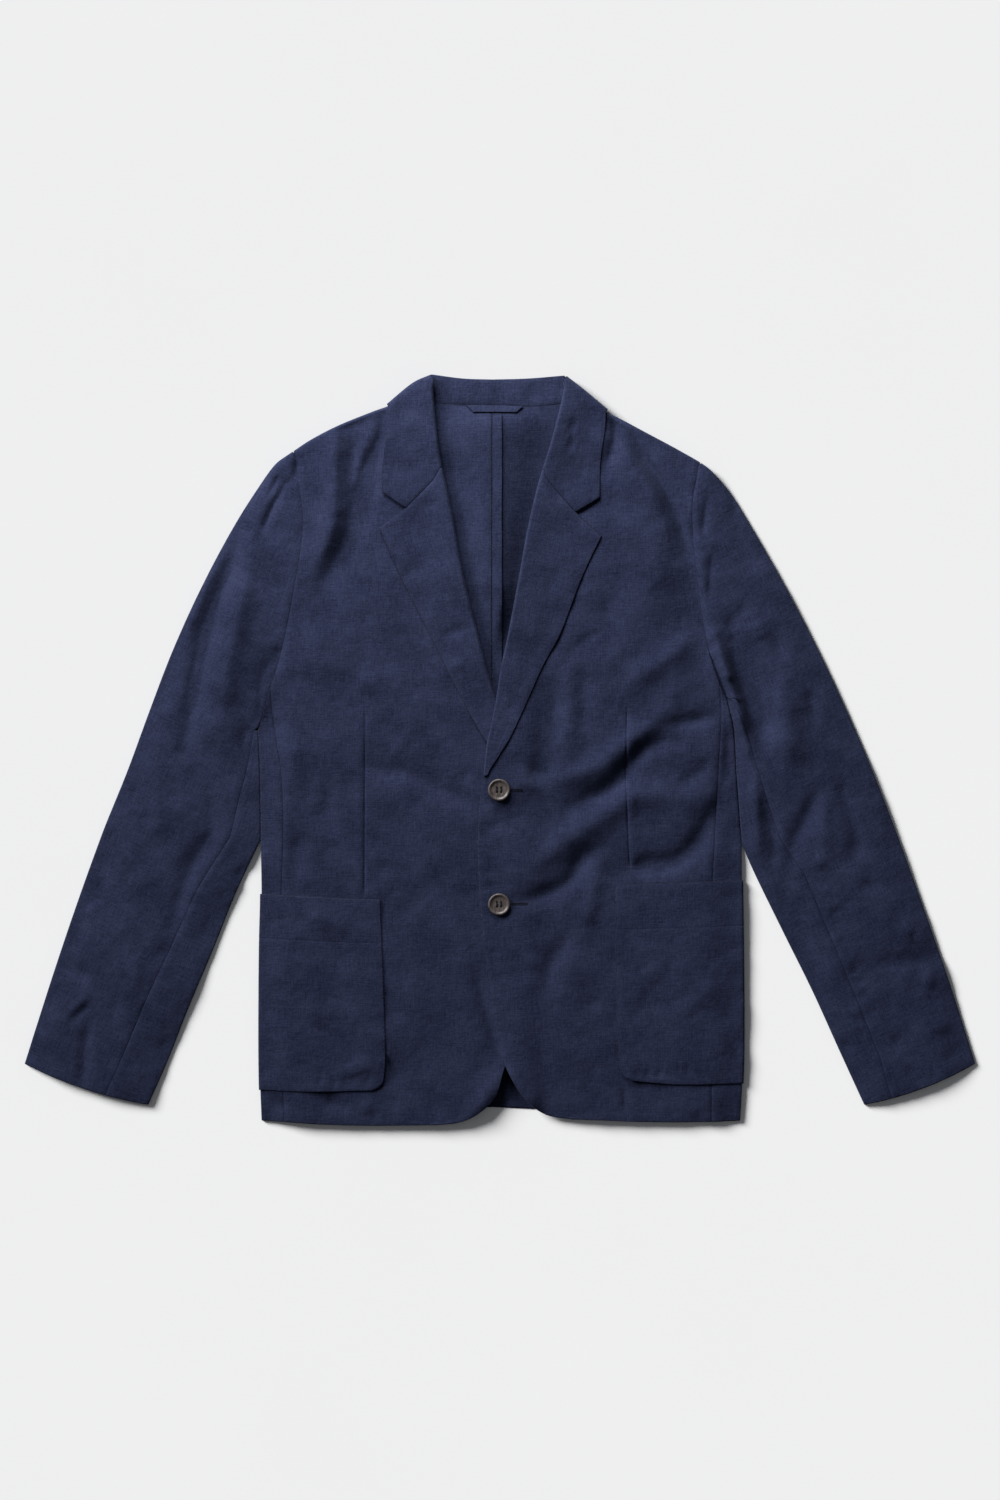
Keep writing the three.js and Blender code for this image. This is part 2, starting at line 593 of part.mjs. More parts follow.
function lapel(name, half, lines) {
  const start = COLLAR_STEPS;
  const end = COLLAR_STEPS + LAPEL_STEPS;
  const roll = lines.rollCentre.slice(start, end + 1);
  const top = notchLine(roll[0], half, half.lapelTip);
  const outer = along(half.lapelEdge, LAPEL_STEPS);
  const bottom = along([roll[LAPEL_STEPS], outer[LAPEL_STEPS]], LEAF_COLUMNS);
  const plan = patch(roll, outer, top, bottom);
  const outward = lines.outward.slice(start, end + 1);
  const lift = lines.lift.slice(start, end + 1);
  return cloth(name, leafRows(plan, panelHeight(half), outward, lift));
}

// Leaf of the collar on one front, from its notch edge up to the fold over the shoulder
function collarLeaf(half, lines) {
  const foldLine = along(half.collarFold, LEAF_COLUMNS);
  const high = (x, y) => frontHeight(x, y) + leafRise(ROLL_LIFT, distance(foldLine[0], [x, y]));
  const fold = foldCentre(foldLine, [half.sign * 100, 0], high, restHeight);
  const roll = [...lines.rollCentre.slice(1, COLLAR_STEPS + 1).toReversed(), fold.centre[0]];
  const notch = notchLine(roll[0], half, half.collarTip);
  const edge = [half.collarTip, ...half.leafEdge.slice(1, -1), fold.centre[LEAF_COLUMNS]];
  const outer = along(edge, COLLAR_STEPS);
  const plan = patch(roll, outer, notch, fold.centre);
  const outward = [...lines.outward.slice(1, COLLAR_STEPS + 1).toReversed(), lines.outward[1]];
  const rows = leafRows(plan, frontHeight, outward, roll.map(() => ROLL_LIFT));
  const last = rows[rows.length - 1].slice(FOLD_STEPS);
  const turned = last.map(([x, y, z], column) => turn([x, y], fold.outward[column], z, BASE));
  const foldRows = Array.from({ length: FOLD_STEPS }, (_, step) =>
    [...Array(FOLD_STEPS).fill(null), ...turned.map((section) => section[step + 1])]);
  return [...rows, ...foldRows];
}

function collar(name, right, left, rightLines, leftLines) {
  const start = collarLeaf(right, rightLines);
  const end = collarLeaf(left, leftLines).toReversed();
  const from = start[start.length - 1].slice(FOLD_STEPS);
  const to = end[0].slice(FOLD_STEPS);
  const flat = (point) => [point[0], point[1]];
  const { seamToFold } = standLines();
  const beneath = seamToFold.centre.map(([x, y]) => [x, y - SEAM_INSET]);
  const upper = [flat(from[0]), ...beneath, flat(to[0])];
  const fallEdge = [flat(from[LEAF_COLUMNS]), ...FALL_EDGE.slice(1, -1), flat(to[LEAF_COLUMNS])];
  const lower = along(fallEdge, upper.length - 1);
  const plan = patch(upper, lower, from.map(flat), to.map(flat));
  const fall = plan.slice(1, -1).map((row) => [
    ...Array(FOLD_STEPS).fill(null),
    ...row.map(([x, y]) => [x, y, BASE]),
  ]);
  return cloth(name, [...start, ...fall, ...end]);
}

// Neck seam of the stand and its fold along the top
function standLines() {
  const whole = (table) => {
    const right = along(table.right, NECK_COLUMNS).toReversed();
    return joined(right, along(table.left, NECK_COLUMNS));
  };
  const seamToFold = foldCentre(whole(STAND_TOP), [0, 0], backHeight, restHeight);
  return { seam: whole(NECKLINE), seamToFold };
}

function collarStand(name) {
  const { seam, seamToFold } = standLines();
  const { centre, outward } = seamToFold;
  return cloth(name, seam.map((point, index) => joined(
    run(point, centre[index], STAND_COLUMNS, backHeight),
    turn(centre[index], outward[index], backHeight(...centre[index]), BASE),
  )));
}

// Where the side fold lies at a height
function sideAt(side, y) {
  const index = Math.max(1, side.findIndex((point) => point[1] <= y));
  const [start, end] = [side[index - 1], side[index]];
  return mix(start, end, (start[1] - y) / (start[1] - end[1]));
}

function pocket(name, half, lines) {
  const height = (x, y) => frontHeight(x, y) + LAYER;
  const levels = [half.pocketMouth, half.pocketBottom].map((line) => line[line.length - 1]);
  const moved = along(levels, POCKET_ROWS).map(([, y]) => {
    const [x] = sideAt(lines.side, y);
    return [x + half.sign * POCKET_STANDOFF, y];
  });
  const fold = foldCentre(moved, [0, -200], height, restHeight);
  const inner = along(half.pocketInner, POCKET_ROWS);
  const mouth = along([...half.pocketMouth.slice(0, -1), fold.centre[0]], POCKET_COLUMNS);
  const bottom = along([...half.pocketBottom.slice(0, -1), fold.centre[POCKET_ROWS]], POCKET_COLUMNS);
  const plan = patch(inner, fold.centre, mouth, bottom);
  return cloth(name, plan.map((row, index) => {
    const centre = fold.centre[index];
    const end = [centre[0] - half.sign * POCKET_BACK, centre[1]];
    return joined(
      row.map(([x, y]) => [x, y, height(x, y)]),
      turn(centre, fold.outward[index], height(...centre), BASE),
      run(centre, end, POCKET_BACK_COLUMNS, restHeight),
    );
  }));
}

function seamAllowance(name) {
  const height = (x, y) => backHeight(x, y) + LAYER;
  const rows = along([[CENTRE_SEAM, ALLOWANCE.top], [CENTRE_SEAM, ALLOWANCE.bottom]], ALLOWANCE.steps);
  return cloth(name, rows.map(([x, y]) => run([x, y], [ALLOWANCE.left, y], 1, height)));
}

function hangerLoop(name) {
  const height = (x, y) => backHeight(x, y) + LAYER;
  const top = along([[LOOP.left, LOOP.top], [LOOP.right, LOOP.top - 1]], LOOP.steps);
  const corners = [[LOOP.left + LOOP.chamfer, LOOP.bottom], [LOOP.right - LOOP.chamfer, LOOP.bottom]];
  const bottom = along(corners, LOOP.steps);
  return cloth(name, top.map((point, index) => run(point, bottom[index], LOOP_COLUMNS, height)));
}

// Button: a turned disc with a raised rim, and four holes

const wasm = await Module();
wasm.setup();

function toManifold(geometry) {
  geometry.deleteAttribute("normal");
  geometry.deleteAttribute("uv");
  const merged = mergeVertices(geometry, 1e-4);
  const triangles = [];
  for (let face = 0; face < merged.index.count; face += 3) {
    const corners = [0, 1, 2].map((corner) => merged.index.getX(face + corner));
    if (new Set(corners).size === 3) triangles.push(...corners);
  }
  return new wasm.Manifold(new wasm.Mesh({
    numProp: 3,
    vertProperties: new Float32Array(merged.attributes.position.array),
    triVerts: new Uint32Array(triangles),
  }));
}

function buttonGeometry() {
  const { radius, thickness, hole, holeSpacing } = BUTTON;
  const profile = BUTTON_PROFILE.map(([out, up]) => new THREE.Vector2(out * radius, up * thickness));
  let disc = toManifold(new THREE.LatheGeometry(profile, BUTTON_SIDES.disc));
  for (const [x, z] of [[1, 1], [1, -1], [-1, 1], [-1, -1]]) {
    const drill = new THREE.CylinderGeometry(hole, hole, thickness * 2, BUTTON_SIDES.hole);
    drill.translate((x * holeSpacing) / 2, thickness / 2, (z * holeSpacing) / 2);
    disc = disc.subtract(toManifold(drill));
  }
  return disc.getMesh();
}

function button(name, y) {
  const { vertProperties, triVerts } = buttonGeometry();
  const mesh = solidMesh(name, Array.from(vertProperties), Array.from(triVerts), buttonMaterial);
  mesh.rotation.x = Math.PI / 2;
  mesh.position.set(BUTTON.x, y, lapHeight(BUTTON.x, y) + WALL / 2 + BUTTON.seat);
  return mesh;
}

const rightLines = halfLines(RIGHT);
const leftLines = halfLines(LEFT);
const rightSleeve = sleeveSections(RIGHT, rightLines);
const leftSleeve = sleeveSections(LEFT, leftLines);

const blazer = new THREE.Group();
blazer.add(
  backPanel("back_right", RIGHT, rightLines, NECKLINE.right),
  backPanel("back_left", LEFT, leftLines, NECKLINE.left),
  seamAllowance("back_seam_allowance"),
  sidePanel("side_panel_right", RIGHT, rightLines),
  sidePanel("side_panel_left", LEFT, leftLines),
  frontPanel("front_right", RIGHT, rightLines),
  frontPanel("front_left", LEFT, leftLines),
  topSleeve("sleeve_top_right", rightSleeve),
  topSleeve("sleeve_top_left", leftSleeve),
  underSleeve("sleeve_under_right", rightSleeve),
  underSleeve("sleeve_under_left", leftSleeve),
  collarStand("collar_stand"),
  collar("collar", RIGHT, LEFT, rightLines, leftLines),
  lapel("lapel_right", RIGHT, rightLines),
  lapel("lapel_left", LEFT, leftLines),
  pocket("pocket_right", RIGHT, rightLines),
  pocket("pocket_left", LEFT, leftLines),
  hangerLoop("hanger_loop"),
  ...BUTTON_HEIGHTS.map(([name, y]) => button(name, y)),
);

export default blazer;
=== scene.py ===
# Looks of a linen blazer laid flat on its back, front up. The cloth is worked out in millimetres.
import json
import math
from collections import namedtuple
from types import SimpleNamespace

import bpy
import numpy as np
from mathutils import Matrix, Vector

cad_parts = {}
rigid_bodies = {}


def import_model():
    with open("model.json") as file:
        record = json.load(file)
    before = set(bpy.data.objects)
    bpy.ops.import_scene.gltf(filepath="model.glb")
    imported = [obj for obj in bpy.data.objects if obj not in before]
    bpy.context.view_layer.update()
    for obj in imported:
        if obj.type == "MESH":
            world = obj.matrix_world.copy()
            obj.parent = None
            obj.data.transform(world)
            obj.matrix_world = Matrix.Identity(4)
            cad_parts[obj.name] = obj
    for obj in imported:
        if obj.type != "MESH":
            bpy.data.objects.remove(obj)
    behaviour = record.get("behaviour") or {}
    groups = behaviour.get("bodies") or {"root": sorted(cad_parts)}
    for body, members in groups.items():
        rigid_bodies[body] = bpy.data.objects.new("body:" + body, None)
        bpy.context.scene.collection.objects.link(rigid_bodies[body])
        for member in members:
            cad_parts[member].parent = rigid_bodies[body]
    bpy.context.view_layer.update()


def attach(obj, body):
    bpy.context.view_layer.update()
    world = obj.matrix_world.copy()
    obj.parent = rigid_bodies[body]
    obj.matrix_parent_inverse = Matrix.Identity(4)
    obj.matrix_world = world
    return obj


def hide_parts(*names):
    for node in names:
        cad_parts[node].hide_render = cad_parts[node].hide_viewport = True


MM = 0.001

# Cloth and how its layers lie on each other
WALL = 1.2
RIM_BULGE = 0.4                # how far the cut edge bulges, as a share of the wall
SEAM_INSET = 0.2
LAYER = 1.9
CLEARANCE = 1.35
BASE = WALL / 2
LOFT = 2.4
LEAST_LOFT = 2.0
LOFT_SOFTNESS = 0.7

# Rises of the lowest layer over the collar's fall and over the pockets' backs
NECK_RISE = 1.8
NECK_RISE_LOW = 288
NECK_RISE_RAMP = 40
NECK_RISE_HALF_WIDTH = 150
NECK_RISE_SIDE_RAMP = 25
POCKET_RISE = 1.5
POCKET_RISE_INNER = 165
POCKET_RISE_TOP = -90
POCKET_RISE_BOTTOM = -390
POCKET_RISE_RAMP = 30

# How far the pockets run on beneath the body and stand off its side, and where the stand's ripple fades
POCKET_BACK = 40
POCKET_STANDOFF = 1.6
STAND = SimpleNamespace(top=386, top_fade=6, bottom=358, bottom_fade=5, stretch=0.3)

# Swell of the lowest layer inside the neck: highest at the allowance, and level again at both rolls
SWELL = SimpleNamespace(height=12.5, low=60, low_ramp=110, high=372, high_ramp=40, side_ramp=45, overlap=5,
                        least_width=12, level=291)
SWELL_ROLLS = ((44, 0.22), (-60, -0.2))      # where each roll lies at that level, and how it leans

# Fullness of the fronts and the sleeves between their folds
FRONT_PUFF = 4.6
FRONT_PUFF_HALF_WIDTH = 249
FRONT_PUFF_RAMP = 34
SLEEVE_PUFF = 5.2

# Lap of the left front over the right one, and over the end of the right lapel
LAP_LIFT = 2.0
LAP_REACH = 22
LAP_END = 52
LAP_RAMP = 26
LAP_TOP = 110
LAP_TOP_RAMP = 44
LAPEL_END_LIFT = 2.1
LAPEL_END = SimpleNamespace(x=2, y=14, across=26, along=56, fade=0.7)

# Soft roll of lapels and collar
ROLL_LIFT = 4.6
ROLL_WIDTH = 26
ROLL_RAMP = 70                 # length over which the roll rises from the lapel's end
ROLL_SPREAD = 0.25             # how far the roll reaches out, as a share of its lift

# Steps along the shared seams and across the pieces, and how much finer the cloth is than that
FINE = 8
ARMHOLE_STEPS = 10 * FINE
HOLLOW_STEPS = 10
APEX_STEPS = 4 * FINE
SIDE_STEPS = 14 * FINE
SLEEVE_STEPS = 9 * FINE
COLLAR_STEPS = 3 * FINE
LAPEL_STEPS = 9 * FINE
EDGE_STEPS = ARMHOLE_STEPS + SIDE_STEPS - COLLAR_STEPS - LAPEL_STEPS
FRONT_COLUMNS = 10 * FINE
NECK_COLUMNS = 3 * FINE
GORGE_COLUMNS = 3 * FINE
LEAF_COLUMNS = 4 * FINE
SLEEVE_COLUMNS = 6 * FINE
SLEEVE_BACK_COLUMNS = 2 * FINE
SIDE_COLUMNS = FINE
SIDE_BACK_COLUMNS = 2 * FINE
BACK_COARSENESS = 2            # how many steps of the shared seams make one of the back's
POCKET_ROWS = 9 * FINE
POCKET_COLUMNS = 6 * FINE
STAND_COLUMNS = 7
NARROW_COLUMNS = 5
FOLD_STEPS = 8
PRESSED = 0.55                 # how far a fold reaches out, as a share of a round one
OPENING_STEPS = 6
BEVEL = SimpleNamespace(rows=8, width=0.8, swell_width=0.6)
SEWN_EDGE = SimpleNamespace(drop=0.5, swell=0.2, swell_at=5)
FREE_EDGE = SimpleNamespace(drop=0.2, swell=0.2, swell_at=6)
TIGHT = 0.25                   # place of the extra line of points beside each border, as a share of a cell

# Ends of the back beneath the shoulder's fold, and beneath the stand
SHOULDER_INSET = 0.5
NECK_INSET = 1.5

ELBOW_SEAM = 0.84
SLEEVE_GAP = 0.35
CUFF_SAG = -5
CUFF_SAG_ROWS = 4 * FINE

# Darts and the pocket's hem: extra lines of points beside a sewn line, and how it is sunk
CLOSE_LINES = 5
CLOSE_SHARES = (0.65, 0.25)
DART_PLACE = {"right": 0.38, "left": 0.4}
DART = SimpleNamespace(groove=1.3, groove_width=0.9, swell=0.6, swell_at=4.5, swell_width=3.5,
                       top_fade=0.08, bottom_fade=0.04)
HEM = SimpleNamespace(place=0.225, offsets=(-1.6, -0.6, 0, 0.6, 1.6), groove=0.35, groove_width=0.7,
                      evenness=0.7)

BUTTON = SimpleNamespace(radius=11.5, thickness=3.6, hole=1.15, spacing=4.4, seat=0.3, x=-1, sides=72,
                         hole_sides=24, hole_ends=(-1, 5), softness=0.2, soft_angle=50, sharp_angle=40)
BUTTON_FACE = 0.6              # share of the thickness at which the four holes open
BUTTON_PROFILE = [(0, 0), (0.8, 0), (0.93, 0.12), (0.985, 0.3), (1, 0.5), (0.99, 0.72), (0.96, 0.9),
                  (0.92, 0.985), (0.88, 1), (0.84, 0.985), (0.79, 0.9), (0.74, 0.76), (0.68, 0.67),
                  (0.6, 0.63), (0.3, BUTTON_FACE), (0, BUTTON_FACE)]
BUTTON_HEIGHTS = {"button_upper": -41.4, "button_lower": -160.2}

# Threads: radii, and how stitches rise from the cloth and sink into it
THREAD = SimpleNamespace(stitch=0.22, button=0.32, buttonhole=0.34)
STITCH = SimpleNamespace(rise=0.2, sunk=0.1)
BUTTON_STITCH = SimpleNamespace(rise=0.45, sunk=2.4, offset=0.4)
HOLE_STITCH = SimpleNamespace(rise=0.4, sunk=0.15, steps=4, pitch=0.8, slit=0.15, lip=1.25, fan_start=0.3,
                              fan_end=1.7, fan_angles=range(-75, 76, 30))
CENTRE_STITCHES = SimpleNamespace(offset=1.2, pitch=3.2, length=2.1)
LOOP_STITCHES = SimpleNamespace(inset=9, left_rise=5.4, right_rise=5, pitch=3, length=1.9)
BUTTONHOLES = {"buttonhole_upper": (10.5, 21.5, -41.4), "buttonhole_lower": (12, 27, -159.8)}

CENTRE_SEAM = -8
ALLOWANCE = SimpleNamespace(left=2, top=348, bottom=-366, steps=200, stretch=0.3, lift=0.5, lift_start=-5,
                            lift_ramp=7)
LOOP = SimpleNamespace(left=-35, right=24, top=358, bottom=350.5, chamfer=7, lift=0.3, steps=40)

THREADS_PER_METRE = 8200       # in radians of the weave's waves
SLEEVE_TILT = 22               # in degrees, of the threads
LAPEL_TILT = 12

# Light, in metres, watts and degrees
SUN = SimpleNamespace(strength=5.45, softness=25, elevation=27, heading=-36)
PANEL = SimpleNamespace(power=37, size=0.5, place=(-0.3, 1.15, 0.6), aim=(0, 0.1, 0))
SKY = 0.125

# Camera straight above, in millimetres of its film and metres of the scene; floor in millimetres
CAMERA = SimpleNamespace(lens=100, sensor=36, frame_height=1.56)
FLOOR = SimpleNamespace(reach=8000, level=-0.05)

# Outlines of the wearer's right half, at -X
RIGHT = {
    "sign": -1,
    "shoulder": [(-72, 378), (-95, 366.5), (-117, 357), (-131, 352), (-164, 339), (-198, 321.5),
                 (-214.5, 310.5)],
    "armhole": [(-210, 281), (-205, 247), (-206, 218), (-214, 168), (-223, 120), (-231, 88), (-239, 64)],
    "front_seam": [(-239, 64), (-236.5, 34), (-232.3, 7.3), (-227.8, -18.7), (-225.3, -72.8), (-227, -153),
                   (-226, -260), (-224.6, -386)],
    "back_seam": [(-239, 64), (-222, -8), (-198, -80), (-180, -180), (-172, -280), (-168, -384)],
    "underarm": [(-251.5, 20), (-249.6, -20), (-248.6, -94)],
    "side": [(-248.6, -94), (-247.8, -150), (-249, -202), (-249.6, -309), (-249, -353), (-247.8, -385)],
    "roll": [(-69.7, 380), (-68.6, 360.3), (-62.9, 308.3), (-60.3, 293)],
    "chest_roll": [(-60.3, 293), (-51.4, 252.7), (-37.9, 179.4), (-21.8, 114.4), (-13.5, 82), (-5.5, 57),
                   (3.1, 31), (19.8, -22)],
    "edge": [(19.8, -22), (20, -160), (19.5, -265), (12, -307), (3.5, -334), (-4.7, -360), (-21.8, -377),
             (-40, -386), (-67.6, -389)],
    "hem": [(-224.6, -386), (-189, -388.4), (-128, -390), (-67.6, -389)],
    "back_hem": [(-8, -371), (-90, -376), (-168, -384)],
    "gorge": [(-60.3, 293), (-68.6, 281.3), (-83, 266), (-97.6, 251)],
    "collar_tip": (-121.7, 267.3),
    "lapel_tip": (-125, 230.9),
    "lapel_edge": [(-125, 230.9), (-107, 189), (-71, 116), (-31.2, 38), (-13.5, 8.3), (3.1, -12),
                   (11.5, -20.5)],
    "leaf_edge": [(-121.7, 267.3), (-122.7, 281.3), (-116.8, 339), (-115, 358)],
    "collar_fold": [(-69.7, 390), (-88.4, 382), (-117.5, 359.5)],
    "sleeve_inner": [(-250.3, -95), (-273.5, -146), (-298.5, -208), (-324.5, -270), (-345, -322),
                     (-365.5, -368.7)],
    "sleeve_outer": [(-215.6, 309.8), (-221, 306.2), (-233, 297.4), (-252.7, 270.4), (-278.7, 228.8),
                     (-310, 169.5), (-340, 104), (-364, 41.6), (-387, -21), (-412, -83), (-442, -166),
                     (-470, -250), (-494, -326)],
    "sleeve_seam": [(0, 0.03), (0.1, 0.085), (0.2, 0.145), (0.45, 0.25), (1, 0.345)],
    "pocket_mouth": [(-124.8, -155.4), (-162, -154.4), (-247.8, -149.8)],
    "pocket_inner": [(-124.8, -155.4), (-121.7, -232), (-120, -336), (-123, -347), (-131.4, -353)],
    "pocket_bottom": [(-131.4, -353), (-189, -354.6), (-248.5, -353)],
    "dart": [(-141, 60), (-140, 48), (-140.5, -40), (-141, -153), (-141, -170)],
    "break_height": 40,
}

# Outlines of the wearer's left half, at +X
LEFT = {
    "sign": 1,
    "shoulder": [(72, 373), (83, 366), (101, 355.5), (111, 350.5), (120, 346.5), (152, 329.7), (185, 312),
                 (208, 299)],
    "armhole": [(204, 281), (200, 258), (201, 218), (208, 156), (213, 124), (218, 98), (228, 68)],
    "front_seam": [(228, 68), (230, 40), (228, 0), (223.6, -80), (220.5, -135), (219, -250), (219.4, -386)],
    "back_seam": [(228, 68), (214, 0), (196, -80), (180, -180), (172, -280), (168, -384)],
    "underarm": [(235, 54), (242.4, 24), (245.6, -27), (251, -98)],
    "side": [(251, -98), (251.3, -150), (252, -202), (252.5, -309), (251.5, -348), (249.6, -385)],
    "roll": [(67.6, 380), (63.1, 358.3), (54.1, 323.4), (44.3, 291.2)],
    "chest_roll": [(44.3, 291.2), (39, 273.5), (27.6, 223.6), (19.8, 179.4), (7.3, 114.4), (1.7, 88.4),
                   (-4.4, 50), (-8.5, 28), (-13.3, 7), (-15.7, -14), (-17, -27)],
    "edge": [(-17, -27), (-19.2, -40.6), (-22.4, -104), (-17.7, -186), (-8.3, -257), (2.1, -317.7),
             (14.6, -345.3), (30.2, -366), (47.8, -378.6), (75.9, -383.2)],
    "hem": [(219.4, -386), (182, -386.4), (130, -385.4), (75.9, -383.2)],
    "back_hem": [(-8, -371), (90, -376), (168, -384)],
    "gorge": [(44.3, 291.2), (48.5, 282), (63, 264), (78.5, 246.8)],
    "collar_tip": (103.5, 262.1),
    "lapel_tip": (105.4, 221.7),
    "lapel_edge": [(105.4, 221.7), (85.3, 179.4), (62.1, 119.6), (45.2, 88.4), (30.9, 57.2), (21.3, 35.4),
                   (10.4, 12.9), (-2.5, -7.5), (-9, -17.5), (-13.6, -26.5)],
    "leaf_edge": [(103.5, 262.1), (104.4, 300.6), (109, 334), (110, 348)],
    "collar_fold": [(67.6, 388.5), (83.2, 377), (112, 354)],
    "sleeve_inner": [(252, -99), (263.1, -125), (293.3, -187), (324.5, -250), (352.6, -312), (378.6, -368.7)],
    "sleeve_outer": [(209.4, 298), (218.4, 291.2), (237, 270.4), (263, 228.8), (298.5, 166.4), (330.7, 104),
                     (360, 41.6), (387, -21), (411, -83), (441, -166), (470, -250), (494, -326)],
    "sleeve_seam": [(0, 0.03), (0.15, 0.15), (0.4, 0.31), (0.7, 0.28), (0.9, 0.28), (1, 0.235)],
    "pocket_mouth": [(119.8, -140), (182, -137.7), (251.2, -135.8)],
    "pocket_inner": [(119.8, -140), (120.6, -232), (124, -320), (127, -336), (136.2, -343)],
    "pocket_bottom": [(136.2, -343), (182, -347), (251.7, -346.3)],
    "dart": [(132, 62), (132, 47), (131, -28), (135, -123), (136, -137)],
    "break_height": 40,
}

NECKLINE = {"right": [(-8, 357.5), (-36, 358), (-71, 361.5)], "left": [(-8, 357.5), (30, 356.5), (67, 360)]}
STAND_TOP = {"right": [(-8, 385.2), (-38, 386.2), (-71, 390.5)],
             "left": [(-8, 385.2), (28, 386.2), (67, 389.3)]}
FALL_EDGE = [(-115, 357), (-90, 345), (-50, 337), (0, 335), (50, 337), (85, 343), (109, 351)]

# A soft trough or ridge: its height, its width on the left and on the right of its way, and its points
Crease = namedtuple("Crease", "height left right points")

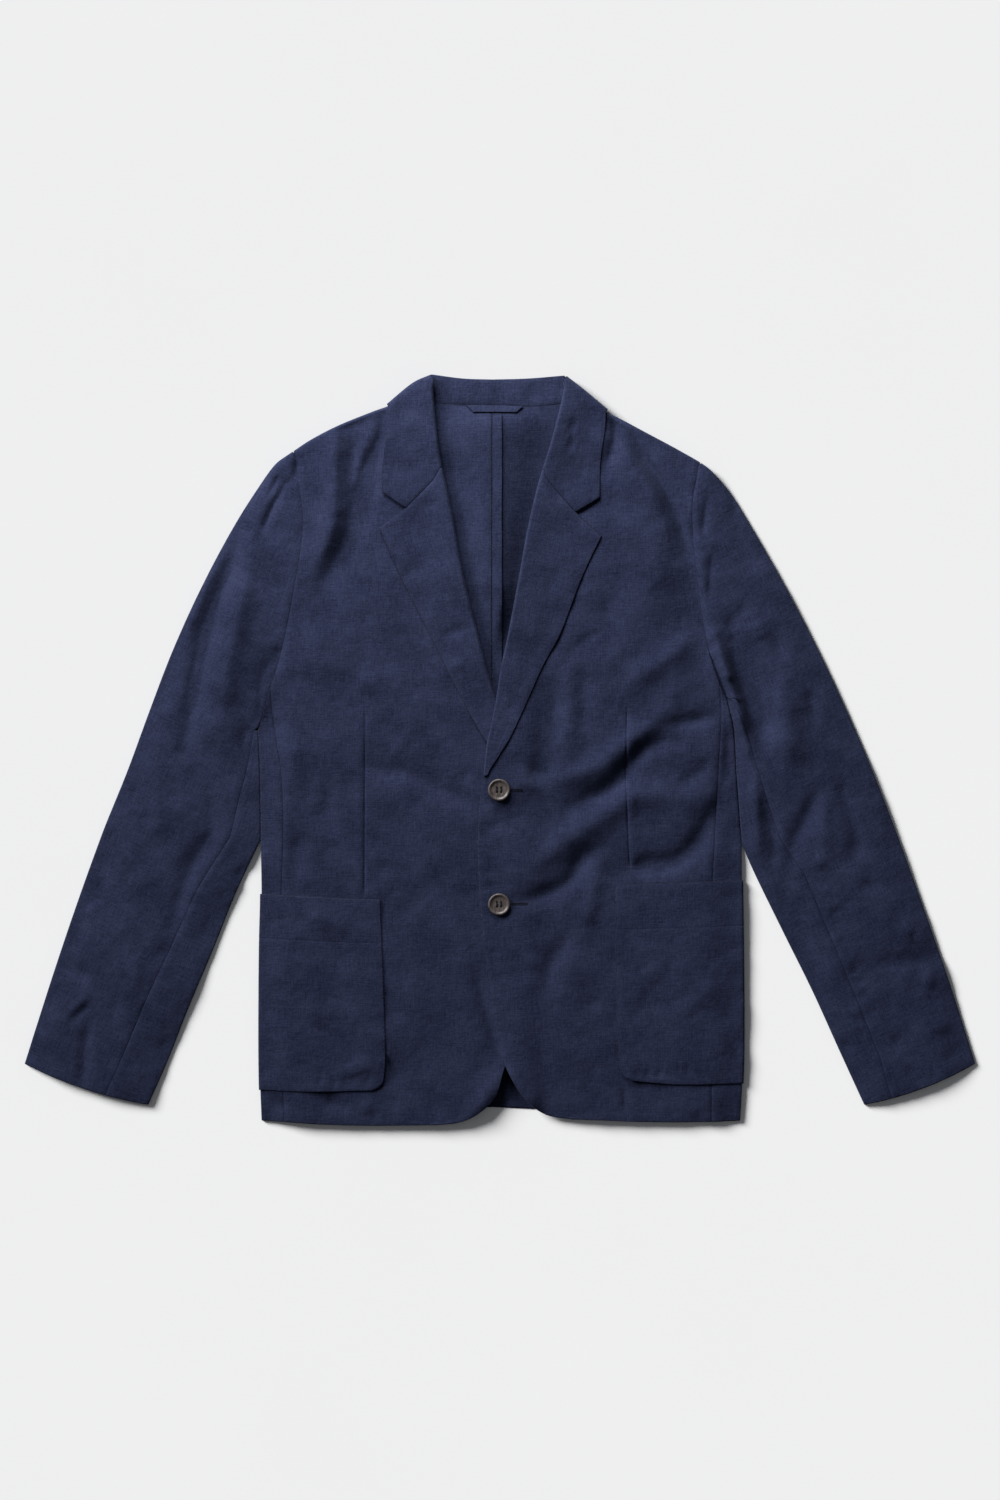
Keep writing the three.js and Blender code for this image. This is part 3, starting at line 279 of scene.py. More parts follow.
UPPER_CREASES = [
    # Right shoulder and chest
    Crease(-2.8, 9, 6, [(-121, 348), (-125, 322), (-135, 290), (-140, 258), (-142, 240)]),
    Crease(-2.9, 22, 8, [(-152, 352), (-152, 304), (-152, 276), (-153, 244), (-159, 214), (-178, 184),
                         (-188, 156)]),
    Crease(3.0, 8, 14, [(-171, 352), (-171, 300), (-171, 270), (-172, 244), (-179, 216), (-198, 184)]),
    Crease(1.5, 5, 6, [(-138, 325), (-149, 290), (-153, 258)]),
    Crease(-1.0, 4, 5, [(-175, 330), (-129, 344)]),
    Crease(-0.9, 14, 18, [(-150, 160), (-140, 110), (-152, 70)]),
    Crease(0.9, 16, 20, [(-185, 140), (-190, 90), (-180, 40)]),
    # Right front
    Crease(-2.2, 12, 9, [(-136, -17), (-82, -30), (-51, -47), (-22, -59)]),
    Crease(1.3, 12, 14, [(-216, 12), (-213, -45)]),
    Crease(-1.6, 10, 12, [(-212, -86), (-210, -146)]),
    Crease(-1.4, 8, 10, [(-179, -38), (-179, -72)]),
    Crease(-1.0, 10, 9, [(-122, -112), (-119, -132)]),
    Crease(0.9, 16, 12, [(-95, -60), (-60, -90), (-40, -130)]),
    Crease(-0.8, 14, 16, [(-90, -180), (-60, -230), (-50, -290)]),
    Crease(0.7, 14, 14, [(-95, -250), (-90, -320)]),
    Crease(-0.8, 3, 3, [(-36, -20), (-37, -33)]),
    Crease(-1.9, 12, 8, [(-28, -213), (-14, -270), (1, -319)]),
    Crease(-1.3, 8, 9, [(-120, -319), (-102, -347)]),
    Crease(-1.2, 8, 8, [(-240, -361), (-220, -373)]),
    Crease(-1.2, 8, 8, [(-184, -361), (-152, -373)]),
    Crease(0.9, 9, 9, [(-141, -364), (-138, -380)]),
    # Left shoulder and chest
    Crease(-3.0, 4, 9, [(128, 334), (146, 308), (166, 282), (180, 254), (192, 222), (197, 200)]),
    Crease(2.4, 9, 20, [(120, 326), (140, 294), (158, 266), (170, 236)]),
    Crease(-2.6, 5, 30, [(198, 240), (202, 190), (206, 150), (214, 106)]),
    Crease(2.4, 34, 42, [(158, 262), (161, 220), (160, 170), (154, 110)]),
    Crease(-2.4, 9, 6, [(117, 350), (119, 326), (110, 292)]),
    Crease(-0.9, 7, 7, [(110, 160), (115, 133)]),
    Crease(-0.9, 6, 6, [(100, 121), (80, 107)]),
    Crease(-1.2, 10, 9, [(87, 95), (87, 6)]),
    Crease(-1.2, 10, 9, [(59, 77), (55, 6)]),
    Crease(0.6, 8, 8, [(71, 76), (70, 6)]),
    Crease(2.0, 12, 12, [(135, 70), (170, 92), (206, 121)]),
    # Left front
    Crease(2.6, 11, 14, [(22, -40), (64, -30), (107, -14), (133, 9), (161, 29), (179, 52)]),
    Crease(-2.2, 7, 8, [(171, 24), (193, 29), (222, 35)]),
    Crease(-3.0, 9, 9, [(73, -58), (99, -48), (122, -33), (139, -10), (156, 6), (184, 9)]),
    Crease(-1.4, 9, 10, [(184, -42), (205, -24), (222, -8)]),
    Crease(2.6, 13, 14, [(17, -133), (36, -120), (73, -90), (107, -71), (133, -51), (207, -48)]),
    Crease(-2.4, 9, 9, [(12, -159), (36, -153), (73, -136), (87, -110), (107, -99)]),
    Crease(1.6, 9, 9, [(102, -120), (94, -162), (87, -190)]),
    Crease(-1.7, 10, 10, [(73, -182), (64, -205), (53, -222), (42, -256)]),
    Crease(-3.4, 11, 9, [(122, -130), (139, -122), (173, -120), (196, -108), (213, -85), (225, -62),
                         (230, -42)]),
    Crease(-1.6, 7, 8, [(236, 24), (243, -28)]),
    Crease(0.8, 5, 6, [(240, -28), (238, -48)]),
    Crease(-1.3, 6, 6, [(28, -17), (53, -33)]),
    Crease(0.9, 4, 4, [(19, -31), (38, -42)]),
    Crease(0.8, 5, 5, [(-10, -57), (-8, -62)]),
    Crease(-1.0, 6, 6, [(90, -263), (107, -263)]),
    Crease(0.8, 14, 16, [(60, -285), (80, -330), (84, -365)]),
    Crease(-0.8, 12, 14, [(35, -285), (48, -330)]),
    Crease(-0.9, 4, 3, [(128, -349), (130, -376)]),
    # Right sleeve
    Crease(-3.4, 10, 8, [(-271, 226), (-281, 186), (-296, 149), (-308, 111), (-315, 75), (-323, 30),
                         (-329, -2)]),
    Crease(-2.2, 10, 10, [(-329, -2), (-318, -38), (-303, -60), (-297, -79), (-312, -106), (-326, -133),
                          (-337, -173), (-346, -209)]),
    Crease(1.6, 6, 7, [(-286, 210), (-301, 178), (-316, 144), (-329, 108)]),
    Crease(2.8, 12, 16, [(-258, 206), (-268, 150), (-280, 100), (-286, 50), (-287, 2)]),
    Crease(1.5, 12, 12, [(-369, -2), (-355, -60), (-360, -106)]),
    Crease(-1.5, 12, 10, [(-409, -101), (-436, -173), (-450, -222)]),
    Crease(-1.5, 10, 9, [(-458, -222), (-423, -238)]),
    Crease(0.9, 4, 4, [(-436, -171), (-414, -162)]),
    Crease(1.3, 16, 15, [(-456, -266), (-476, -312)]),
    Crease(-1.8, 7, 6, [(-431, -352), (-432, -322), (-427, -281)]),
    Crease(0.9, 4, 4, [(-452, -278), (-427, -254)]),
    Crease(-0.7, 4, 4, [(-447, -284), (-423, -262)]),
    Crease(1.0, 7, 7, [(-378, -209), (-377, -254)]),
    Crease(-0.9, 9, 8, [(-398, -250), (-402, -290)]),
    Crease(-2.0, 8, 8, [(-266, 25), (-257, -20)]),
    Crease(-1.1, 8, 8, [(-272, -120), (-264, -138)]),
    Crease(-1.1, 8, 8, [(-352, -300), (-345, -315)]),
    Crease(-1.8, 5, 4, [(-222, 277), (-238, 249), (-248, 224)]),
    Crease(-1.1, 4, 4, [(-229, 286), (-240, 264)]),
    Crease(-1.3, 4, 4, [(-210, 302), (-214, 279)]),
    Crease(-1.7, 5, 5, [(-229, 110), (-232, 85)]),
    Crease(1.4, 6, 6, [(-254, 60), (-254, 30)]),
    Crease(-1.0, 4, 4, [(-233, 32), (-232, 20)]),
    # Left sleeve
    Crease(-0.9, 5, 4, [(215, 264), (210, 218)]),
    Crease(-1.0, 5, 4, [(220, 208), (217, 155)]),
    Crease(-1.3, 13, 12, [(234, 269), (250, 220), (264, 171)]),
    Crease(-0.9, 9, 9, [(232, 124), (246, 139), (260, 151)]),
    Crease(1.2, 5, 5, [(237, 82), (236, 72)]),
    Crease(1.5, 12, 12, [(262, 134), (270, 112)]),
    Crease(-1.3, 7, 7, [(285, 120), (296, 88)]),
    Crease(2.4, 15, 15, [(288, 84), (296, 30), (298, -20)]),
    Crease(-1.3, 8, 8, [(322, 66), (327, 25)]),
    Crease(-1.9, 9, 9, [(335, -38), (323, -60), (312, -83), (303, -110), (301, -133)]),
    Crease(-1.7, 6, 6, [(278, -60), (285, -97), (283, -124)]),
    Crease(-1.8, 11, 9, [(353, -25), (359, -52), (368, -83), (371, -101), (355, -119)]),
    Crease(1.9, 6, 8, [(265, -29), (267, -76), (269, -118)]),
    Crease(1.3, 8, 8, [(337, -47), (337, -108)]),
    Crease(-2.0, 12, 12, [(287, -133), (301, -164), (319, -209), (332, -245)]),
    Crease(1.1, 8, 8, [(330, -110), (332, -124)]),
    Crease(-1.1, 5, 5, [(362, -304), (361, -311)]),
    Crease(-1.0, 8, 8, [(373, -275), (372, -286)]),
    Crease(-0.9, 4, 4, [(411, -301), (411, -307)]),
    Crease(-1.0, 13, 13, [(382, -133), (383, -150)]),
    Crease(-1.4, 9, 9, [(387, -223), (418, -222), (449, -214)]),
    Crease(1.1, 12, 12, [(415, -184), (430, -190)]),
    Crease(1.1, 12, 12, [(438, -238), (452, -242)]),
    Crease(-1.7, 14, 14, [(460, -285), (482, -320)]),
]

# Where one side of an armhole lies higher than the other
BODY_CREASES = [
    Crease(2.4, 10, 10, [(217, 104), (227, 74), (236, 50), (243, 5)]),
    Crease(1.9, 8, 8, [(-235, 98), (-241, 64), (-252, 22)]),
    Crease(2.1, 13, 13, [(-36, -384), (-8, -352), (8, -330)]),
    Crease(2.1, 13, 13, [(44, -378), (20, -350), (6, -325)]),
]
SLEEVE_CREASES = [
    Crease(-2.6, 6, 6, [(219, 106), (225, 86), (234, 64), (240, 46)]),
    Crease(-1.6, 8, 8, [(-239, 98), (-246, 64), (-257, 22)]),
    Crease(5.4, 7, 9, [(223, 120), (229, 94), (240, 60), (250, 30), (258, 0)]),
    Crease(-4.2, 18, 7, [(241, 112), (248, 88), (259, 60), (268, 30), (275, 0)]),
    Crease(1.4, 24, 16, [(292, 70), (300, 20), (306, -30)]),
]

LEAF_CREASES = [
    # Lapels
    Crease(-1.1, 4, 5, [(-61, 118), (-46, 124), (-31, 128)]),
    Crease(0.8, 8, 8, [(-46, 92), (-40, 84)]),
    Crease(-0.9, 10, 9, [(-96, 188), (-90, 178)]),
    Crease(-0.9, 9, 9, [(-74, 260), (-72, 248)]),
    Crease(0.6, 12, 12, [(-62, 200), (-52, 160)]),
    Crease(-0.7, 12, 12, [(62, 190), (56, 160)]),
    Crease(0.6, 12, 12, [(40, 150), (30, 110)]),
    # Collar
    Crease(-1.1, 6, 6, [(70, 338), (81, 334)]),
    Crease(-1.0, 6, 6, [(70, 320), (78, 315)]),
    Crease(-1.1, 8, 8, [(70, 296), (92, 292)]),
    Crease(-0.8, 9, 8, [(-104, 300), (-84, 306)]),
    Crease(0.6, 10, 10, [(-94, 330), (-90, 350)]),
]

POCKET_CREASES = [
    Crease(-1.4, 6, 6, [(-240, -160), (-206, -170)]),
    Crease(-1.7, 9, 9, [(-242, -194), (-212, -212)]),
    Crease(1.5, 12, 12, [(-205, -166), (-153, -190)]),
    Crease(-1.5, 9, 9, [(-246, -262), (-206, -282)]),
    Crease(-1.1, 4, 4, [(-197, -287), (-156, -294)]),
    Crease(1.2, 14, 14, [(-152, -322), (-146, -338)]),
    Crease(-1.2, 8, 7, [(187, -146), (188, -160)]),
    Crease(-1.6, 7, 6, [(124, -228), (156, -219)]),
    Crease(-1.7, 10, 9, [(246, -190), (199, -225), (139, -276)]),
    Crease(1.0, 12, 12, [(230, -240), (180, -280)]),
    Crease(-1.2, 8, 8, [(213, -302), (244, -312)]),
]

# Creases of the layer that rests, seen from beneath: only as high as the layers above leave room for
REST_CREASES = [
    Crease(0.7, 12, 9, [(-150, 250), (-80, 190), (20, 170), (110, 205)]),
    Crease(0.6, 9, 12, [(160, 120), (90, 70), (10, 64)]),
    Crease(0.7, 10, 10, [(-190, 40), (-120, -10), (-70, -100)]),
    Crease(0.6, 10, 12, [(195, -20), (140, -90), (130, -190)]),
    Crease(0.6, 12, 12, [(-60, -180), (-40, -260), (-70, -340)]),
    Crease(0.7, 9, 9, [(-330, 60), (-350, -30), (-340, -110)]),
    Crease(0.6, 9, 9, [(-400, -150), (-410, -240)]),
    Crease(0.7, 9, 9, [(320, 70), (345, -20), (330, -100)]),
    Crease(0.6, 9, 9, [(400, -140), (415, -230)]),
]
RELIEF = 2.2                   # height of a crease whose table says 1
TAPER = 0.3                    # share of its way over which a crease fades at each end
LEAST_FADE = 0.3
CREASE_REACH = 2.6             # how many widths away a crease still counts
CREASE_FALLOFF = 1.7

# Unevenness all over the cloth, from large waves to small ones
Wave = namedtuple("Wave", "height size seed")
RUMPLE = [Wave(1.35, 46, 1), Wave(0.9, 23, 2), Wave(0.42, 12, 3), Wave(0.12, 6.5, 4)]

# The same unevenness, lower and from elsewhere, on the layers sewn to the fronts, and waves of single pieces
LEAF_RUMPLE = SimpleNamespace(share=0.8, shift=300)
POCKET_RUMPLE = SimpleNamespace(share=0.6, shift=400)
STAND_WAVE = Wave(1.5, 11, 8)
HEM_WAVE = Wave(0.3, 12, 9)
ALLOWANCE_WAVE = Wave(0.25, 17, 11)
ALLOWANCE_EDGE_WAVE = Wave(0.35, 24, 12)
RIPPLE_CELLS = 128
RIPPLE_OFFSET = 60

# Puckers across a sewn edge: where they start and end, which way and how far they reach, how deep they are
Puckers = namedtuple("Puckers", "start end reach count depth")
FRONT_EDGE_PUCKERS = [
    Puckers((-21, -78), (-21, -140), (24, 2), 6, -0.9),
    Puckers((-15, -210), (-8, -262), (22, 3), 5, -0.9),
]
POCKET_PUCKERS = [
    Puckers((-232, -350), (-140, -350), (3, 17), 9, -0.9),
    Puckers((140, -341), (240, -342), (3, 15), 10, -1.1),
]
SLEEVE_PUCKERS = [
    Puckers((333, -140), (376, -276), (14, 9), 10, -0.7),
    Puckers((-291, -122), (-378, -276), (-12, 6), 8, -0.5),
]


def smooth(value):
    value = np.clip(value, 0, 1)
    return value * value * (3 - 2 * value)


# Lines and patches seen from above

def along(points, steps):
    """Evenly spaced points on a smooth centripetal curve through a few given ones."""
    given = np.array([tuple(point) for point in points], float)
    padded = np.vstack([2 * given[0] - given[1], given, 2 * given[-1] - given[-2]])
    t = np.linspace(0, 1, 60)[:, None]
    pieces = []
    for p0, p1, p2, p3 in zip(padded, padded[1:], padded[2:], padded[3:]):
        gap0, gap1, gap2 = (max(np.hypot(*(b - a)) ** 0.5, 1e-6) for a, b in ((p0, p1), (p1, p2), (p2, p3)))
        start = ((p1 - p0) / gap0 - (p2 - p0) / (gap0 + gap1) + (p2 - p1) / gap1) * gap1
        end = ((p2 - p1) / gap1 - (p3 - p1) / (gap1 + gap2) + (p3 - p2) / gap2) * gap1
        bend = -3 * p1 + 3 * p2 - 2 * start - end
        pieces.append(p1 + start * t + bend * t ** 2 + (2 * p1 - 2 * p2 + start + end) * t ** 3)
    line = np.vstack([pieces[0], *[piece[1:] for piece in pieces[1:]]])
    return spaced(line, np.linspace(0, 1, steps + 1))


def spaced(line, shares):
    """Points at given shares of a line's length."""
    way = np.concatenate([[0], np.cumsum(np.hypot(*np.diff(line, axis=0).T))])
    return np.column_stack([np.interp(shares * way[-1], way, line[:, axis]) for axis in (0, 1)])


def straight(start, end, steps):
    share = np.linspace(0, 1, steps + 1)[:, None]
    return np.asarray(start) + (np.asarray(end) - np.asarray(start)) * share


def joined(*lines, axis=0):
    """Joins lines or grids end to end, without the repeated points."""
    rest = [line[1:] if axis == 0 else line[:, 1:] for line in lines[1:]]
    return np.concatenate([lines[0], *rest], axis=axis)


def across(line, side, away):
    """Unit directions across a line, on the side of a given point or away from it."""
    ends = np.vstack([line[:1], line, line[-1:]])
    step = ends[2:] - ends[:-2]
    normal = np.column_stack([step[:, 1], -step[:, 0]]) / np.hypot(*step.T)[:, None]
    towards = ((np.asarray(side) - line) * normal).sum(1) > 0
    return normal * np.where(towards == away, -1, 1)[:, None]


def patch(left, right, top, bottom):
    """Grid of plan points inside four boundary lines: rows run from the left line to the right one."""
    v = np.linspace(0, 1, len(left))[:, None, None]
    u = np.linspace(0, 1, len(top))[None, :, None]
    ruled = (1 - u) * left[:, None] + u * right[:, None] + (1 - v) * top[None] + v * bottom[None]
    corners = (1 - u) * ((1 - v) * left[0] + v * left[-1]) + u * ((1 - v) * right[0] + v * right[-1])
    return ruled - corners


def turn(centre, outward, high, low, reach=None):
    """Half a turn of cloth round a fold, from a high layer to a low one, for each point of the fold.

    It reaches out by half its height, or as far as is given where creases make it higher or lower there.
    """
    angle = math.pi / 2 - math.pi * np.linspace(0, 1, FOLD_STEPS + 1)
    radius = ((high - low) / 2)[:, None]
    width = radius if reach is None else reach[:, None]
    plan = centre[:, None] + outward[:, None] * (width * np.cos(angle))[..., None]
    height = low[:, None] + radius + radius * np.sin(angle)
    return np.concatenate([plan, height[..., None]], axis=2)


def between(start, end, steps):
    """Grid of plan points from one line to another, a row for each of their points."""
    return start[:, None] + (end - start)[:, None] * np.linspace(0, 1, steps + 1)[None, :, None]


def lifted(plan, height):
    return np.concatenate([plan, height(plan[..., 0], plan[..., 1])[..., None]], axis=-1)


# Creases and heights

def beside(line, x, y):
    """Signed distance from a line, positive on its left, and the share of the way along it."""
    start, step = line[:-1, :, None], np.diff(line, axis=0)[:, :, None]
    length = (step ** 2).sum(1)
    gap = np.stack([x, y])[None] - start
    share = np.clip((gap * step).sum(1) / length, 0, 1)
    gap = gap - step * share[:, None]
    distance = np.hypot(gap[:, 0], gap[:, 1])
    nearest = distance.argmin(0)
    point = np.arange(len(x))
    step_x, step_y = step[nearest, 0, 0], step[nearest, 1, 0]
    side = np.sign(step_x * gap[nearest, 1, point] - step_y * gap[nearest, 0, point])
    return side * distance[nearest, point], (nearest + share[nearest, point]) / len(step)


def relief(creases, x, y):
    """Height that creases add at each point."""
    total = np.zeros(np.shape(x))
    for crease in creases:
        line = along(crease.points, 10)
        reach = CREASE_REACH * max(crease.left, crease.right)
        low, high = line.min(0) - reach, line.max(0) + reach
        near = (x > low[0]) & (x < high[0]) & (y > low[1]) & (y < high[1])
        if not near.any():
            continue
        side, way = beside(line, x[near], y[near])
        width = np.where(side > 0, crease.left, crease.right)
        fade = LEAST_FADE + (1 - LEAST_FADE) * smooth(way / TAPER) * smooth((1 - way) / TAPER)
        total[near] += RELIEF * crease.height * fade * np.exp(-(np.abs(side / width) ** CREASE_FALLOFF))
    return total


def pucker_creases(rows, seed):
    """Short creases across a sewn edge, uneven in length, depth and spacing."""
    random = np.random.default_rng(seed)
    creases = []
    for row in rows:
        for share in np.linspace(0, 1, row.count):
            drift = share + random.uniform(-0.3, 0.3) / row.count
            start = np.array(row.start) + (np.array(row.end) - row.start) * drift
            end = start + np.array(row.reach) * random.uniform(0.5, 1.1)
            creases.append(Crease(row.depth * random.uniform(0.4, 1.1), 2.2, 2.6, [tuple(start), tuple(end)]))
    return creases


def ripple(wave, x, y):
    """Smooth noise up to a wave's height, with features of its size."""
    values = np.random.default_rng(wave.seed).uniform(-1, 1, (RIPPLE_CELLS, RIPPLE_CELLS))
    u, v = np.asarray(x) / wave.size + RIPPLE_OFFSET, np.asarray(y) / wave.size + RIPPLE_OFFSET
    i, j = np.floor(u).astype(int), np.floor(v).astype(int)
    s, t = smooth(u - i), smooth(v - j)

    def value(right, up):
        return values[(i + right) % RIPPLE_CELLS, (j + up) % RIPPLE_CELLS]

    near, far = (value(0, up) * (1 - s) + value(1, up) * s for up in (0, 1))
    return wave.height * (near * (1 - t) + far * t)


def rumple(x, y):
    """Small unevenness of washed linen."""
    turned_x, turned_y = 0.8 * x - 0.6 * y, 0.6 * x + 0.8 * y
    planes = ((turned_x, turned_y), (x, y), (turned_y, turned_x), (x, y))
    return sum(ripple(wave, *plane) for wave, plane in zip(RUMPLE, planes))


def back_height(x, y):
    """Middle of the lowest layer of the body."""
    neck = smooth((y - NECK_RISE_LOW) / NECK_RISE_RAMP)
    neck = neck * smooth((NECK_RISE_HALF_WIDTH - abs(x)) / NECK_RISE_SIDE_RAMP)
    pocket = smooth((abs(x) - POCKET_RISE_INNER) / POCKET_RISE_RAMP)
    pocket = pocket * smooth((POCKET_RISE_TOP - y) / POCKET_RISE_RAMP)
    pocket = pocket * smooth((y - POCKET_RISE_BOTTOM) / POCKET_RISE_RAMP)
    return BASE + NECK_RISE * neck + POCKET_RISE * pocket


def front_puff(x):
    return FRONT_PUFF * smooth((FRONT_PUFF_HALF_WIDTH - abs(x)) / FRONT_PUFF_RAMP)


def settled(height):
    """Keeps a layer clear of the one beneath, softly."""
    over = height - LEAST_LOFT
    return LEAST_LOFT + (over + np.sqrt(over ** 2 + LOFT_SOFTNESS ** 2)) / 2


UPPER_FOLDS = UPPER_CREASES + pucker_creases(FRONT_EDGE_PUCKERS + SLEEVE_PUCKERS, seed=5)
POCKET_FOLDS = POCKET_CREASES + pucker_creases(POCKET_PUCKERS, seed=6)


def plain_front(x, y):
    return back_height(x, y) + LOFT + front_puff(x)


def front_height(x, y):
    """Middle of the upper layer of the body."""
    creases = relief(UPPER_FOLDS, x, y) + relief(BODY_CREASES, x, y)
    return back_height(x, y) + settled(LOFT + front_puff(x) + creases + rumple(x, y))


def lap(x, y):
    """How far the left front lies above the right one."""
    over_edge = smooth((LAP_END - x) / LAP_RAMP) * smooth((LAP_TOP - y) / LAP_TOP_RAMP)
    reach = np.hypot((x - LAPEL_END.x) / LAPEL_END.across, (y - LAPEL_END.y) / LAPEL_END.along)
    return LAP_LIFT * over_edge + LAPEL_END_LIFT * smooth((1 + LAPEL_END.fade - reach) / LAPEL_END.fade)


def plain_height(half):
    if half is LEFT:
        return lambda x, y: plain_front(x, y) + lap(x, y)
    return plain_front


def panel_height(half):
    if half is LEFT:
        return lambda x, y: front_height(x, y) + lap(x, y)
    return front_height


def sleeve_height(x, y, share):
    beside_body = front_puff(x) / FRONT_PUFF
    within = 1 - np.abs(2 * share - 1) ** 3
    puff = FRONT_PUFF * beside_body * (1 - within) + SLEEVE_PUFF * within
    creases = relief(UPPER_FOLDS, x, y) + relief(SLEEVE_CREASES, x, y)
    return BASE + settled(LOFT + puff + creases + rumple(x, y))


def rest_relief(x, y):
    return np.maximum(relief(REST_CREASES, x, y), 0)


def flat_height(x, _):
    return np.full(np.shape(x), BASE)


def back_layer(x, y):
    """Lowest layer with its creases, and raised softly where it shows inside the neck."""
    left_roll, right_roll = (place + lean * (y - SWELL.level) for place, lean in SWELL_ROLLS)
    fall = np.clip((left_roll - x) / np.maximum(left_roll - ALLOWANCE.left, SWELL.least_width), 0, 1)
    rise = SWELL.height * (fall + smooth(fall)) / 2
    rise = rise * smooth((y - SWELL.low) / SWELL.low_ramp) * smooth((SWELL.high - y) / SWELL.high_ramp)
    rise = rise * smooth((x - right_roll + SWELL.overlap) / SWELL.side_ramp)
    return back_height(x, y) + rest_relief(x, y) + rise


# Shared lines of each half, worked out from its outlines

def fold_centre(line, inside, high, low, opening=1):
    """Centre line of a fold, its outward directions and how far it reaches, from its outermost line."""
    outward = across(line, inside, True)
    reach = (high(*line.T) - low(*line.T)) / 2 * opening * PRESSED
    return line - outward * (reach + WALL / 2)[:, None], outward, reach


def roll_reach(lift):
    return (LAYER + ROLL_SPREAD * lift) / 2


def half_lines(half):
    inside, in_panel = (half["sign"] * 100, 0), (half["sign"] * 200, 0)
    lines = SimpleNamespace()
    lines.shoulder, lines.shoulder_out, lines.shoulder_reach = fold_centre(
        along(half["shoulder"], FRONT_COLUMNS), inside, plain_front, back_height)
    lines.tip = lines.shoulder[-1]
    lines.armhole = along([lines.tip, *half["armhole"]], ARMHOLE_STEPS)
    lines.front_seam = along(half["front_seam"], SIDE_STEPS)
    lines.back_seam = along(half["back_seam"], SIDE_STEPS)
    lines.side = joined(along(half["underarm"], APEX_STEPS), along(half["side"], SIDE_STEPS - APEX_STEPS))

    roll = joined(along(half["roll"], COLLAR_STEPS), along(half["chest_roll"], LAPEL_STEPS))
    lines.roll_out = across(roll, in_panel, True)
    lines.lift = ROLL_LIFT * smooth((roll[:, 1] - half["break_height"]) / ROLL_RAMP)
    lines.lift[-1] = 0
    lines.roll = roll - lines.roll_out * (roll_reach(lines.lift) + WALL / 2)[:, None]
    lines.roll[0] = lines.shoulder[0]
    lines.edge = along([lines.roll[-1], *half["edge"][1:]], EDGE_STEPS)
    return lines


# Closed walls of cloth

def tightened(grid):
    """Adds a line of points just inside each border, so that the edge can be crisp."""
    for _ in range(2):
        grid = np.swapaxes(grid, 0, 1)
        first = grid[:1] + (grid[1:2] - grid[:1]) * TIGHT
        last = grid[-1:] + (grid[-2:-1] - grid[-1:]) * TIGHT
        grid = np.concatenate([grid[:1], first, grid[1:-1], last, grid[-1:]])
    return grid


def bevel(grid, sides, edge):
    """Rounds the cloth off at some borders and swells it over the allowance that is turned in there."""
    for side in sides:
        turned = {"top": grid, "bottom": grid[::-1], "left": np.swapaxes(grid, 0, 1),
                  "right": np.swapaxes(grid, 0, 1)[::-1]}[side]
        near = turned[:BEVEL.rows]
        distance = np.hypot(near[..., 0] - near[:1, :, 0], near[..., 1] - near[:1, :, 1])
        swell_width = edge.swell_at * BEVEL.swell_width
        near[..., 2] += edge.swell * np.exp(-(((distance - edge.swell_at) / swell_width) ** 2))
        near[..., 2] -= edge.drop * np.exp(-distance / BEVEL.width)


def moved_by(grid, down, right):
    """The grid's neighbours in one direction, with nothing past its borders."""
    rows, columns = grid.shape[:2]
    out = np.full_like(grid, np.nan)
    out[max(-down, 0):rows - max(down, 0), max(-right, 0):columns - max(right, 0)] = (
        grid[max(down, 0):rows + min(down, 0), max(right, 0):columns + min(right, 0)])
    return out


def cell_faces(filled, number, corners):
    """Corner numbers of each filled cell's quad."""
    rows, columns = np.nonzero(filled)
    return np.column_stack([number[rows + down, columns + right] for down, right in corners])


def rim_of(real):
    """Marks the points on the borders of a grid."""
    padded = np.pad(real, 1)
    inner = padded[:-2, 1:-1] & padded[2:, 1:-1] & padded[1:-1, :-2] & padded[1:-1, 2:]
    return (real & ~inner).astype(float)


